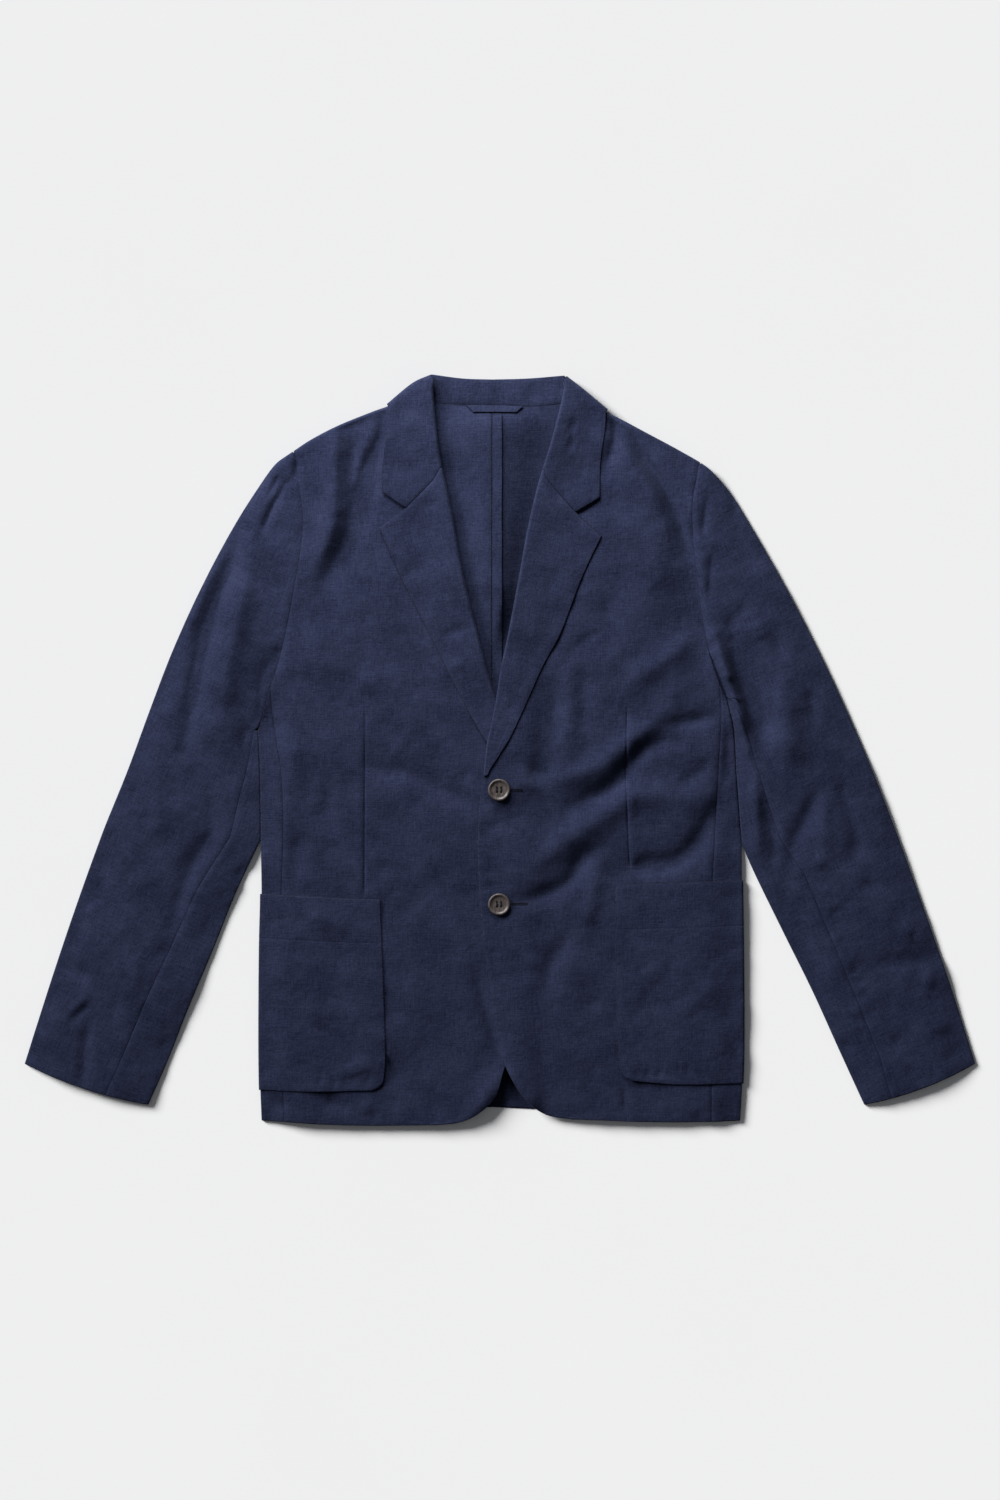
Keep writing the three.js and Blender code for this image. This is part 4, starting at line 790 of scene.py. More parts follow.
def shell(grid):
    """Closed wall round a grid of middle points: its vertices, its faces, and which points they come from."""
    real = ~np.isnan(grid[..., 0])
    eased, outward = grid.copy(), np.zeros_like(grid)
    for down, right in ((0, 1), (0, -1), (1, 0), (-1, 0)):
        ahead, behind = moved_by(grid, down, right), moved_by(grid, -down, -right)
        border = real & ~np.isnan(ahead[..., 0]) & np.isnan(behind[..., 0])
        inward = ahead[border] - grid[border]
        inward /= np.linalg.norm(inward, axis=1)[:, None]
        eased[border] += inward * SEAM_INSET
        outward[border] -= inward
    length = np.linalg.norm(outward, axis=2)
    outward[length > 0] /= length[length > 0][:, None]

    def spread(down, right):
        ahead, behind = moved_by(grid, down, right), moved_by(grid, -down, -right)
        return np.where(np.isnan(ahead), grid, ahead) - np.where(np.isnan(behind), grid, behind)

    normal = np.cross(spread(0, 1), spread(1, 0))
    normal /= np.maximum(np.linalg.norm(normal, axis=2), 1e-9)[..., None]
    count = int(real.sum())
    number = np.full(real.shape, -1)
    number[real] = np.arange(count)
    filled = real[:-1, :-1] & real[1:, :-1] & real[:-1, 1:] & real[1:, 1:]
    upper = eased[real] + normal[real] * WALL / 2
    lower = eased[real] - normal[real] * WALL / 2
    rim = eased[real] + outward[real] * WALL * RIM_BULGE
    corners = ((0, 0), (1, 0), (1, 1), (0, 1))
    faces = [cell_faces(filled, number, corners), cell_faces(filled, number + count, corners[::-1])]
    padded = np.pad(filled, 1)
    for side, (down, right) in enumerate(((0, -1), (1, 0), (0, 1), (-1, 0))):
        beyond = padded[1 + down:padded.shape[0] - 1 + down, 1 + right:padded.shape[1] - 1 + right]
        edge = cell_faces(filled & ~beyond, number, corners)
        start, end = edge[:, side], edge[:, (side + 1) % 4]
        faces.append(np.column_stack([start, start + 2 * count, end + 2 * count, end]))
        faces.append(np.column_stack([start + 2 * count, start + count, end + count, end + 2 * count]))
    vertices = np.vstack([upper, lower, rim])
    faces = np.vstack(faces)
    used = np.zeros(len(vertices), bool)
    used[faces] = True
    renumber = np.cumsum(used) - 1
    return vertices[used], renumber[faces], used, real


def volume(vertices, faces):
    a, b, c, d = (vertices[faces[:, corner]] for corner in range(4))
    return (np.cross(b, c) * a).sum() + (np.cross(c, d) * a).sum()


def added(name, data):
    thing = bpy.data.objects.new(name, data)
    bpy.context.scene.collection.objects.link(thing)
    return thing


def plain_object(name, vertices, faces):
    mesh = bpy.data.meshes.new(name)
    mesh.from_pydata((np.asarray(vertices) * MM).tolist(), [], faces)
    mesh.update()
    return added(name, mesh)


def new_piece(name, vertices, faces, material):
    """A smooth piece of the garment in one material."""
    piece = plain_object(name, vertices, faces)
    piece.data.materials.append(material)
    piece.data.polygons.foreach_set("use_smooth", [True] * len(piece.data.polygons))
    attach(piece, "root")
    return piece


def cloth(name, grid, material, angle=0, free=(), sewn=()):
    """A piece of cloth from its middle points, in place of the node with its name."""
    grid = tightened(grid)
    bevel(grid, sewn, SEWN_EDGE)
    bevel(grid, free, FREE_EDGE)
    grid[..., 2] = np.maximum(grid[..., 2], BASE)
    vertices, faces, used, real = shell(grid)
    if volume(vertices, faces) < 0:
        faces = faces[:, ::-1]
    piece = new_piece(f"{name}_cloth", vertices, faces.tolist(), material)
    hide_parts(name)

    # Thread directions; free borders painted lighter, partly as rubbed wear and partly as painted highlight;
    # every border darkened by painted shade
    turned = math.radians(angle)
    seed = sum(ord(letter) for letter in name)
    u = vertices[:, 0] * math.cos(turned) + vertices[:, 1] * math.sin(turned) + seed * 7
    v = vertices[:, 1] * math.cos(turned) - vertices[:, 0] * math.sin(turned) + seed * 3
    threads = piece.data.attributes.new("threads", "FLOAT_VECTOR", "POINT")
    threads.data.foreach_set("vector", np.column_stack([u, v, vertices[:, 2]]).ravel() * MM)
    worn_and_highlit = np.zeros(real.shape)
    for side in free:
        worn_and_highlit[{"top": (0,), "bottom": (-1,), "left": (slice(None), 0), "right": (slice(None), -1)}[side]] = 1
    wear_and_highlight = piece.data.attributes.new("wear_and_highlight", "FLOAT", "POINT")
    wear_and_highlight.data.foreach_set("value", np.tile(worn_and_highlit[real], 3)[used].astype(np.float32))
    # Painted shade at every border, seams and free edges alike: rim and underside fully, the upper border
    # points in part
    border = rim_of(real)[real]
    depth = piece.data.attributes.new("depth", "FLOAT", "POINT")
    depth.data.foreach_set("value", np.concatenate([0.6 * border, border, border])[used].astype(np.float32))

    return piece


# Materials

def feed(tree, socket, value):
    """Sets an input, or links it where the value comes from another node."""
    if isinstance(value, bpy.types.NodeSocket):
        tree.links.new(value, socket)
    else:
        socket.default_value = value


def node(tree, kind, **inputs):
    """A shader node whose inputs are set or linked by their names."""
    made = tree.nodes.new("ShaderNode" + kind)
    for name, value in inputs.items():
        feed(tree, made.inputs[name.replace("_", " ")], value)
    return made


def noise(tree, vector, across_scale, along_scale, detail=3, roughness=0.6):
    place = node(tree, "Mapping", Vector=vector, Scale=(across_scale, along_scale, 1)).outputs["Vector"]
    return node(tree, "TexNoise", Vector=place, Scale=1, Detail=detail, Roughness=roughness).outputs["Fac"]


def maths(tree, operation, *values):
    made = tree.nodes.new("ShaderNodeMath")
    made.operation = operation
    for socket, value in zip(made.inputs, values):
        feed(tree, socket, value)
    return made.outputs[0]


def ranged(tree, value, from_low, from_high, to_low, to_high):
    made = node(tree, "MapRange", Value=value, From_Min=from_low, From_Max=from_high, To_Min=to_low,
                To_Max=to_high)
    return made.outputs["Result"]


def mixed(tree, share, first, second):
    """Colour between two colours."""
    made = tree.nodes.new("ShaderNodeMix")
    made.data_type = "RGBA"
    for name, value in (("Factor", share), ("A", first), ("B", second)):
        feed(tree, made.inputs[name], value)
    return made.outputs["Result"]


def two_tone(tree, share, dark, light, low=0, high=1):
    """Colour ramp from a dark colour to a light one."""
    ramp = node(tree, "ValToRGB", Fac=share)
    for element, position, colour in zip(ramp.color_ramp.elements, (low, high), (dark, light)):
        element.position = position
        element.color = (*colour, 1)
    return ramp.outputs["Color"]


def attribute(tree, name, output):
    made = tree.nodes.new("ShaderNodeAttribute")
    made.attribute_name = name
    return made.outputs[output]


def object_place(tree):
    return tree.nodes.new("ShaderNodeTexCoord").outputs["Object"]


def new_material(name, roughness, specular, **uniform):
    """A material whose shader inputs are set directly."""
    material = bpy.data.materials.new(name)
    material.use_nodes = True
    tree = material.node_tree
    shader = tree.nodes["Principled BSDF"]
    for socket, value in {"Roughness": roughness, "Specular_IOR_Level": specular, **uniform}.items():
        shader.inputs[socket.replace("_", " ")].default_value = value
    return material, tree, shader


def linen(name, dark, light, worn_and_highlit, painted_shade):
    """Washed linen in plain weave: mottled dye, uneven threads, sparse pale slubs, free edges lighter as
    rubbed wear and as painted highlight, and every border darkened by painted shade.
    """
    material, tree, shader = new_material(name, 0.9, 0.06, Sheen_Weight=0.05, Sheen_Roughness=0.45,
                                          Sheen_Tint=(0.62, 0.7, 1.0, 1))
    threads = attribute(tree, "threads", "Vector")
    patches = noise(tree, threads, 26, 26, detail=5, roughness=0.65)
    specks = noise(tree, threads, 420, 420, roughness=0.75)
    warp = noise(tree, threads, 900, 60, roughness=0.65)
    weft = noise(tree, threads, 60, 900, roughness=0.65)
    streaks = maths(tree, "ADD", warp, weft)
    dye = maths(tree, "MULTIPLY_ADD", patches, 1.1, -0.55)
    dye = maths(tree, "MULTIPLY_ADD", specks, 1.1, dye)
    dye = maths(tree, "ADD", streaks, dye)
    colour = mixed(tree, ranged(tree, dye, 1.03, 2.07, 0, 1), (*dark, 1), (*light, 1))

    slubs = ranged(tree, noise(tree, threads, 170, 900, detail=2), 0.72, 0.8, 0, 0.16)
    # Free edges lightened unevenly, partly as rubbed wear and partly as painted highlight
    highlit_worn_edges = maths(tree, "POWER", attribute(tree, "wear_and_highlight", "Fac"), 2)
    rubbed_and_highlit = maths(tree, "MULTIPLY", highlit_worn_edges, ranged(tree, specks, 0.4, 0.7, 0.02, 0.3))
    colour = mixed(tree, maths(tree, "MAXIMUM", slubs, rubbed_and_highlit), colour, (*worn_and_highlit, 1))
    # Painted shade: the borders are darkened towards a near-black colour, by the depth attribute
    painted_shade_share = maths(tree, "MULTIPLY", attribute(tree, "depth", "Fac"), 0.9)
    feed(tree, shader.inputs["Base Color"], mixed(tree, painted_shade_share, colour, (*painted_shade, 1)))

    crumple = noise(tree, threads, 120, 120, detail=5)
    waves = [maths(tree, "SINE", maths(tree, "MULTIPLY", side, THREADS_PER_METRE))
             for side in node(tree, "SeparateXYZ", Vector=threads).outputs[:2]]
    height = maths(tree, "MULTIPLY_ADD", maths(tree, "MULTIPLY", *waves), 0.05,
                   maths(tree, "MULTIPLY", streaks, 0.22))
    height = maths(tree, "ADD", crumple, height)
    bump = node(tree, "Bump", Strength=0.85, Distance=0.0011, Height=height)
    feed(tree, shader.inputs["Normal"], bump.outputs["Normal"])
    return material


def horn(name, dark, light):
    """Dull dark horn with fine streaks."""
    material, tree, shader = new_material(name, 0.45, 0.3, Coat_Weight=0.1, Coat_Roughness=0.3)
    grain = noise(tree, object_place(tree), 700, 160, detail=4)
    feed(tree, shader.inputs["Base Color"], two_tone(tree, grain, dark, light, 0.3, 0.75))
    feed(tree, shader.inputs["Roughness"], ranged(tree, grain, 0.3, 0.7, 0.38, 0.56))
    return material


def thread_material(name, colour):
    """Twisted sewing thread."""
    material, tree, shader = new_material(name, 0.9, 0.1)
    twist = noise(tree, object_place(tree), 2500, 2500, detail=2)
    dark, light = ([channel * share for channel in colour] for share in (0.6, 1.4))
    feed(tree, shader.inputs["Base Color"], two_tone(tree, twist, dark, light))
    return material


def floor_material():
    """Matt pale paper."""
    material, tree, shader = new_material("pale_floor", 0.9, 0.1)
    value = ranged(tree, noise(tree, object_place(tree), 3, 3, detail=2), 0.3, 0.7, 0.945, 0.955)
    colour = node(tree, "CombineColor", Red=value, Green=value, Blue=value)
    feed(tree, shader.inputs["Base Color"], colour.outputs["Color"])
    return material


# Pieces

def dart_columns(plan, dart, column):
    """Draws one column of the grid onto the dart's line and sets more columns close beside it."""
    rows, columns = plan.shape[:2]
    share = np.arange(columns) / (columns - 1)
    line = along(dart, 60)
    out = plan.copy()
    for row in range(rows):
        x = plan[row, :, 0]
        target = np.interp(plan[row, column, 1], line[::-1, 1], line[::-1, 0])
        order = np.argsort(x)
        wanted = np.interp(target, x[order], share[order])
        warped = np.interp(share, [0, share[column], 1], [0, wanted, 1])
        for axis in (0, 1):
            out[row, :, axis] = np.interp(warped, share, plan[row, :, axis])
    centre, before, after = (out[:, place:place + 1] for place in (column, column - 1, column + 1))
    close = [centre + (before - centre) * share for share in CLOSE_SHARES]
    close += [centre] + [centre + (after - centre) * share for share in CLOSE_SHARES[::-1]]
    return np.concatenate([out[:, :column], *close, out[:, column + 1:]], axis=1)


def dart_relief(half, x, y):
    """Groove of the dart's seam, with the folded allowance beside it."""
    line = along(half["dart"][1:-1], 30)
    side, way = beside(line, x.ravel(), y.ravel())
    side, way = side.reshape(x.shape), way.reshape(x.shape)
    ends = smooth(way / DART.top_fade) * smooth((1 - way) / DART.bottom_fade)
    groove = -DART.groove * np.exp(-np.abs(side) / DART.groove_width)
    swell = DART.swell * np.exp(-(((side * half["sign"] - DART.swell_at) / DART.swell_width) ** 2))
    return (groove + swell) * ends


def front_panel(half, lines):
    height = panel_height(half)
    outer = joined(lines.armhole, lines.front_seam)
    inner = joined(lines.roll, lines.edge)
    bottom = along(half["hem"], FRONT_COLUMNS)
    plan = patch(outer, inner, lines.shoulder[::-1], bottom)
    dart_column = round(FRONT_COLUMNS * DART_PLACE["right" if half is RIGHT else "left"])
    plan = dart_columns(plan, half["dart"], dart_column)
    grid = lifted(plan, height)
    grid[..., 2] += dart_relief(half, plan[..., 0], plan[..., 1])
    if half is LEFT:
        over = plan[..., 0] < LAP_REACH
        floor = front_height(plan[..., 0], plan[..., 1]) + CLEARANCE
        lapped = over & (plan[..., 1] < LAP_TOP - LAP_TOP_RAMP)
        grid[..., 2] = np.where(lapped, np.maximum(grid[..., 2], floor), grid[..., 2])
    top = grid[0, :, :2]
    outward, reach = (spread_columns(values[::-1], dart_column)
                      for values in (lines.shoulder_out, lines.shoulder_reach))
    wrapped = turn(top, outward, grid[0, :, 2], back_height(*top.T), reach)[:, ::-1]
    return np.concatenate([wrapped[:, :-1].swapaxes(0, 1), grid])


def spread_columns(values, column):
    """Repeats a column's value for the columns that were set beside it."""
    repeated = np.repeat(values[column:column + 1], CLOSE_LINES, axis=0)
    return np.concatenate([values[:column], repeated, values[column + 1:]])


def back_panel(half, lines, neckline):
    outer = joined(lines.armhole, lines.back_seam)[::BACK_COARSENESS]
    eased = lines.shoulder - lines.shoulder_out * SHOULDER_INSET
    eased[-1] = lines.tip
    neck_end = (eased[0, 0] - half["sign"] * NECK_INSET, neckline[-1][1])
    neck = along([*neckline[:-1], neck_end], NECK_COLUMNS // BACK_COARSENESS)
    top = np.concatenate([neck, eased[::2 * BACK_COARSENESS]])[::-1]
    centre = along([neckline[0], half["back_hem"][0]], len(outer) - 1)
    bottom = along(half["back_hem"], len(top) - 1)[::-1]
    return lifted(patch(outer, centre, top, bottom), back_layer)


def side_panel(lines):
    opening = smooth(np.arange(len(lines.side)) / OPENING_STEPS)
    centre, outward, reach = fold_centre(lines.side, (0, 0), plain_front, back_height, opening)
    upper = lifted(between(lines.front_seam, centre, SIDE_COLUMNS), front_height)
    lower = lifted(between(centre, lines.back_seam, SIDE_BACK_COLUMNS), back_layer)
    fold = turn(centre, outward, upper[:, -1, 2], lower[:, 0, 2], reach)
    return joined(upper, fold, lower, axis=1)


def sleeve_sections(half, lines):
    """Both folds and the front seam of a flat sleeve, a row for each section from shoulder to cuff."""
    beside_body = along(half["underarm"], APEX_STEPS)
    clear = beside_body + across(beside_body, (0, 0), True) * SLEEVE_GAP
    lower = along([clear[-1], *half["sleeve_inner"][1:]], SLEEVE_STEPS)
    armhole = lines.armhole.copy()
    armhole[0, 0] += half["sign"] * SLEEVE_GAP
    inner = joined(armhole, straight(armhole[-1], clear[0], HOLLOW_STEPS), clear, lower)
    rows = len(inner) - 1
    outer = along(half["sleeve_outer"], rows)

    def full(x, y):
        return flat_height(x, y) + LOFT

    sections = SimpleNamespace()
    sections.end, sections.outward, sections.reach = fold_centre(
        outer, (half["sign"] * 200, 0), full, flat_height)
    row = np.arange(rows + 1)
    underarm = ARMHOLE_STEPS + HOLLOW_STEPS
    opening = smooth((row - underarm) / OPENING_STEPS)
    start, sections.inward, sections.inner_reach = fold_centre(
        inner, (half["sign"] * 600, -100), full, flat_height, opening)
    sections.folded = row >= underarm
    sections.start = np.where(sections.folded[:, None], start, inner)
    way = (row - underarm) / (rows - underarm)
    sections.seam = np.where(sections.folded, np.interp(way, *np.array(half["sleeve_seam"]).T), 0)
    sections.sag = CUFF_SAG * smooth((row - rows + CUFF_SAG_ROWS) / CUFF_SAG_ROWS)
    return sections


def sleeve_run(sections, low, high, steps, height):
    """Stretch of a sleeve's cross-sections between two shares of its width."""
    low, high = (np.broadcast_to(float(value) if np.isscalar(value) else value, sections.seam.shape)[:, None]
                 for value in (low, high))
    shares = low + (high - low) * np.linspace(0, 1, steps + 1)
    plan = sections.start[:, None] + (sections.end - sections.start)[:, None] * shares[..., None]
    plan[..., 1] += sections.sag[:, None] * 4 * shares * (1 - shares)
    return np.concatenate([plan, height(plan[..., 0], plan[..., 1], shares)[..., None]], axis=2)


def resting(x, y, _):
    return BASE + rest_relief(x, y)


def top_sleeve(sections):
    upper = sleeve_run(sections, sections.seam, 1, SLEEVE_COLUMNS, sleeve_height)
    lower = sleeve_run(sections, 1, ELBOW_SEAM, SLEEVE_BACK_COLUMNS, resting)
    fold = turn(sections.end, sections.outward, upper[:, -1, 2], lower[:, 0, 2], sections.reach)
    return joined(upper, fold, lower, axis=1)


def under_sleeve(sections):
    under = sleeve_run(sections, ELBOW_SEAM, 0, SLEEVE_COLUMNS, resting)
    upper = sleeve_run(sections, 0, sections.seam, SLEEVE_BACK_COLUMNS, sleeve_height)
    fold = turn(sections.start, sections.inward, upper[:, 0, 2], under[:, -1, 2], sections.inner_reach)
    grid = joined(under, fold[:, ::-1], upper, axis=1)
    grid[~sections.folded, SLEEVE_COLUMNS + 1:] = np.nan
    return grid


def leaf_rows(plan, plain, creased, outward, lift):
    """Half a turn of roll from the panel's edge, then the leaf out to its own edge, for each row."""
    share = np.linspace(1, 0, plan.shape[1])[None, :, None]
    moved = plan + outward[:, None] * SEAM_INSET * share
    reach = np.hypot(*(moved - moved[:, :1]).transpose(2, 0, 1))
    x, y = moved[..., 0], moved[..., 1]
    rise = LAYER + lift[:, None] * np.exp(-((reach / ROLL_WIDTH) ** 2))
    height = plain(x, y) + rise + relief(LEAF_CREASES, x, y)
    height += LEAF_RUMPLE.share * rumple(x + LEAF_RUMPLE.shift, y)
    height = np.maximum(height, creased(x, y) + CLEARANCE)
    fold = turn(moved[:, 0], outward, height[:, 0], creased(x[:, 0], y[:, 0]), roll_reach(lift))[:, ::-1]
    return joined(fold, np.concatenate([moved, height[..., None]], axis=2), axis=1)


def notch_line(start, half, tip):
    """Gorge seam from the roll to the notch, which collar and lapel share, and on to the tip."""
    gorge = along([start, *half["gorge"][1:]], GORGE_COLUMNS)
    return joined(gorge, straight(gorge[-1], tip, LEAF_COLUMNS - GORGE_COLUMNS))


def lapel(half, lines):
    roll = lines.roll[COLLAR_STEPS:]
    outer = along(half["lapel_edge"], LAPEL_STEPS)
    notch = notch_line(roll[0], half, half["lapel_tip"])
    plan = patch(roll, outer, notch, straight(roll[-1], outer[-1], LEAF_COLUMNS))
    return leaf_rows(plan, plain_height(half), panel_height(half), lines.roll_out[COLLAR_STEPS:],
                     lines.lift[COLLAR_STEPS:])


def collar_leaf(half, lines):
    """Leaf of the collar on one front, from its notch edge up to the fold over the shoulder."""
    fold_line = along(half["collar_fold"], LEAF_COLUMNS)

    def high(x, y):
        reach = np.hypot(x - fold_line[0, 0], y - fold_line[0, 1])
        return plain_front(x, y) + LAYER + ROLL_LIFT * np.exp(-((reach / ROLL_WIDTH) ** 2))

    centre, outward, reach = fold_centre(fold_line, (half["sign"] * 100, 0), high, flat_height)
    roll_inset = lines.roll_out[1] * (roll_reach(ROLL_LIFT) + WALL / 2)
    centre = centre - roll_inset * np.linspace(1, 0, len(centre))[:, None]
    roll = np.vstack([lines.roll[1:COLLAR_STEPS + 1][::-1], centre[:1]])
    notch = notch_line(roll[0], half, half["collar_tip"])
    outer = along([half["collar_tip"], *half["leaf_edge"][1:-1], centre[-1]], COLLAR_STEPS)
    roll_out = np.vstack([lines.roll_out[1:COLLAR_STEPS + 1][::-1], lines.roll_out[1:2]])
    rows = leaf_rows(patch(roll, outer, notch, centre), plain_front, front_height, roll_out,
                     np.full(len(roll), float(ROLL_LIFT)))
    last = rows[-1, FOLD_STEPS:]
    turned = turn(last[:, :2], outward, last[:, 2], np.full(len(last), BASE), reach)[:, 1:].swapaxes(0, 1)
    hidden = np.full((FOLD_STEPS, FOLD_STEPS, 3), np.nan)
    return np.concatenate([rows, np.concatenate([hidden, turned], axis=1)])


def stand_lines():
    def whole(table):
        return joined(along(table["right"], NECK_COLUMNS)[::-1], along(table["left"], NECK_COLUMNS))

    return whole(NECKLINE), *fold_centre(whole(STAND_TOP), (0, 0), back_height, flat_height)


def collar(right_lines, left_lines):
    start, end = collar_leaf(RIGHT, right_lines), collar_leaf(LEFT, left_lines)[::-1]
    first, last = start[-1, FOLD_STEPS:, :2], end[0, FOLD_STEPS:, :2]
    _, upper, _, _ = stand_lines()
    upper = np.vstack([first[:1], upper - (0, SEAM_INSET), last[:1]])
    lower = along([first[-1], *FALL_EDGE[1:-1], last[-1]], len(upper) - 1)
    fall = lifted(patch(upper, lower, first, last)[1:-1], flat_height)
    hidden = np.full((len(fall), FOLD_STEPS, 3), np.nan)
    return np.concatenate([start, np.concatenate([hidden, fall], axis=1), end])


def collar_stand():
    seam, centre, outward, reach = stand_lines()

    def height(x, y):
        fade = smooth((STAND.top - y) / STAND.top_fade) * smooth((y - STAND.bottom) / STAND.bottom_fade)
        return back_height(x, y) + ripple(STAND_WAVE, x, y * STAND.stretch) * fade

    rise = lifted(between(seam, centre, STAND_COLUMNS), height)
    fold = turn(centre, outward, rise[:, -1, 2], np.full(len(seam), BASE), reach)
    return joined(rise, fold, axis=1)


def pocket(half, lines):
    def plain(x, y):
        return plain_front(x, y) + LAYER

    def height(x, y):
        uneven = POCKET_RUMPLE.share * rumple(x, y + POCKET_RUMPLE.shift)
        creased = plain(x, y) + relief(POCKET_FOLDS, x, y) + uneven
        return np.maximum(creased, front_height(x, y) + CLEARANCE)

    levels = spaced(np.array([half["pocket_mouth"][-1], half["pocket_bottom"][-1]], float),
                    np.linspace(0, 1, POCKET_ROWS + 1))[:, 1]
    side = np.interp(levels, lines.side[::-1, 1], lines.side[::-1, 0]) + half["sign"] * POCKET_STANDOFF
    centre, outward, reach = fold_centre(np.column_stack([side, levels]), (0, -200), plain, flat_height)
    inner = along(half["pocket_inner"], POCKET_ROWS)
    mouth = along([*half["pocket_mouth"][:-1], centre[0]], POCKET_COLUMNS)
    bottom = along([*half["pocket_bottom"][:-1], centre[-1]], POCKET_COLUMNS)
    upper = lifted(patch(inner, centre, mouth, bottom), height)
    hem_row = round(POCKET_ROWS * HEM.place)
    upper = hem_rows(upper, hem_row)
    centre = upper[:, -1, :2]
    outward, reach = (spread_columns(values, hem_row) for values in (outward, reach))
    fold = turn(centre, outward, upper[:, -1, 2], np.full(len(centre), BASE), reach)
    end = centre - (half["sign"] * POCKET_BACK, 0)
    return joined(upper, fold, lifted(between(centre, end, NARROW_COLUMNS), flat_height), axis=1)


def hem_rows(grid, row):
    """Sets close rows beside one row and sinks a stitched line along it."""
    offsets = np.array(HEM.offsets)[:, None, None]
    step = grid[row + 1, :, :] - grid[row, :, :]
    step /= np.linalg.norm(step, axis=1)[:, None]
    close = grid[row][None] + step[None] * offsets
    uneven = HEM.evenness + ripple(HEM_WAVE, grid[row, :, 0], grid[row, :, 1])
    close[..., 2] -= HEM.groove * np.exp(-np.abs(offsets[..., 0]) / HEM.groove_width) * uneven
    return np.concatenate([grid[:row], close, grid[row + 1:]])


def seam_allowance():
    def height(x, y):
        lift = ALLOWANCE.lift * smooth((x - ALLOWANCE.lift_start) / ALLOWANCE.lift_ramp)
        return back_layer(x, y) + LAYER + ripple(ALLOWANCE_WAVE, x * ALLOWANCE.stretch, y) + lift

    start = straight((CENTRE_SEAM, ALLOWANCE.top), (CENTRE_SEAM, ALLOWANCE.bottom), ALLOWANCE.steps)
    end = start + (ALLOWANCE.left - CENTRE_SEAM, 0)
    end[:, 0] += ripple(ALLOWANCE_EDGE_WAVE, start[:, 1], 0 * start[:, 1])
    return lifted(between(start, end, NARROW_COLUMNS), height)


def loop_height(x, y):
    return back_layer(x, y) + LAYER + LOOP.lift


def hanger_loop():
    top = straight((LOOP.left, LOOP.top), (LOOP.right, LOOP.top - 1), LOOP.steps)
    bottom_left, bottom_right = LOOP.left + LOOP.chamfer, LOOP.right - LOOP.chamfer
    bottom = straight((bottom_left, LOOP.bottom), (bottom_right, LOOP.bottom), LOOP.steps)
    return lifted(between(top, bottom, NARROW_COLUMNS), loop_height)


# Buttons, buttonholes and sewing

def lathe(profile, segments):
    """Vertices and faces of a turned form whose profile starts and ends on its axis."""
    angle = 2 * math.pi * np.arange(segments) / segments
    ring = np.column_stack([np.cos(angle), np.sin(angle)])
    body = [np.column_stack([ring * radius, np.full(segments, height)]) for radius, height in profile[1:-1]]
    vertices = np.vstack([*body, [0, 0, profile[0][1]], [0, 0, profile[-1][1]]])
    low, high = len(vertices) - 2, len(vertices) - 1
    step = np.arange(segments)
    after = (step + 1) % segments
    rings = len(profile) - 2
    faces = [(low_ring + a, low_ring + b, low_ring + segments + b, low_ring + segments + a)
             for low_ring in range(0, (rings - 1) * segments, segments) for a, b in zip(step, after)]
    faces += [(low, b, a) for a, b in zip(step, after)]
    faces += [(high, (rings - 1) * segments + a, (rings - 1) * segments + b) for a, b in zip(step, after)]
    return vertices, [tuple(int(corner) for corner in face) for face in faces]


def button(name, y, height, material):
    """Turned disc with a raised rim and four drilled holes."""
    profile = [(BUTTON.radius * out, BUTTON.thickness * up) for out, up in BUTTON_PROFILE]
    disc = plain_object(name + "_disc", *lathe(profile, BUTTON.sides))
    low, high = BUTTON.hole_ends
    for across_sign in (-1, 1):
        for along_sign in (-1, 1):
            points, faces = lathe([(0, low), (BUTTON.hole, low), (BUTTON.hole, high), (0, high)],
                                  BUTTON.hole_sides)
            points[:, :2] += np.array([across_sign, along_sign]) * BUTTON.spacing / 2
            drill = plain_object("drill", points, faces)
            cut = disc.modifiers.new("hole", "BOOLEAN")
            cut.operation, cut.solver, cut.object = "DIFFERENCE", "EXACT", drill
    edge = disc.modifiers.new("soft_edge", "BEVEL")
    edge.width, edge.segments = BUTTON.softness * MM, 2
    edge.limit_method, edge.angle_limit = "ANGLE", math.radians(BUTTON.soft_angle)
    mesh = bpy.data.meshes.new_from_object(disc.evaluated_get(bpy.context.evaluated_depsgraph_get()))
    for thing in [disc, *[cut.object for cut in disc.modifiers if cut.type == "BOOLEAN"]]:
        bpy.data.objects.remove(thing)
    mesh.name = name + "_horn"
    mesh.materials.clear()
    mesh.materials.append(material)
    mesh.polygons.foreach_set("use_smooth", [True] * len(mesh.polygons))
    mesh.set_sharp_from_angle(angle=math.radians(BUTTON.sharp_angle))
    mesh.transform(Matrix.Translation(Vector((BUTTON.x, y, height)) * MM))
    piece = added(name + "_horn", mesh)
    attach(piece, "root")
    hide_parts(name)
    return piece


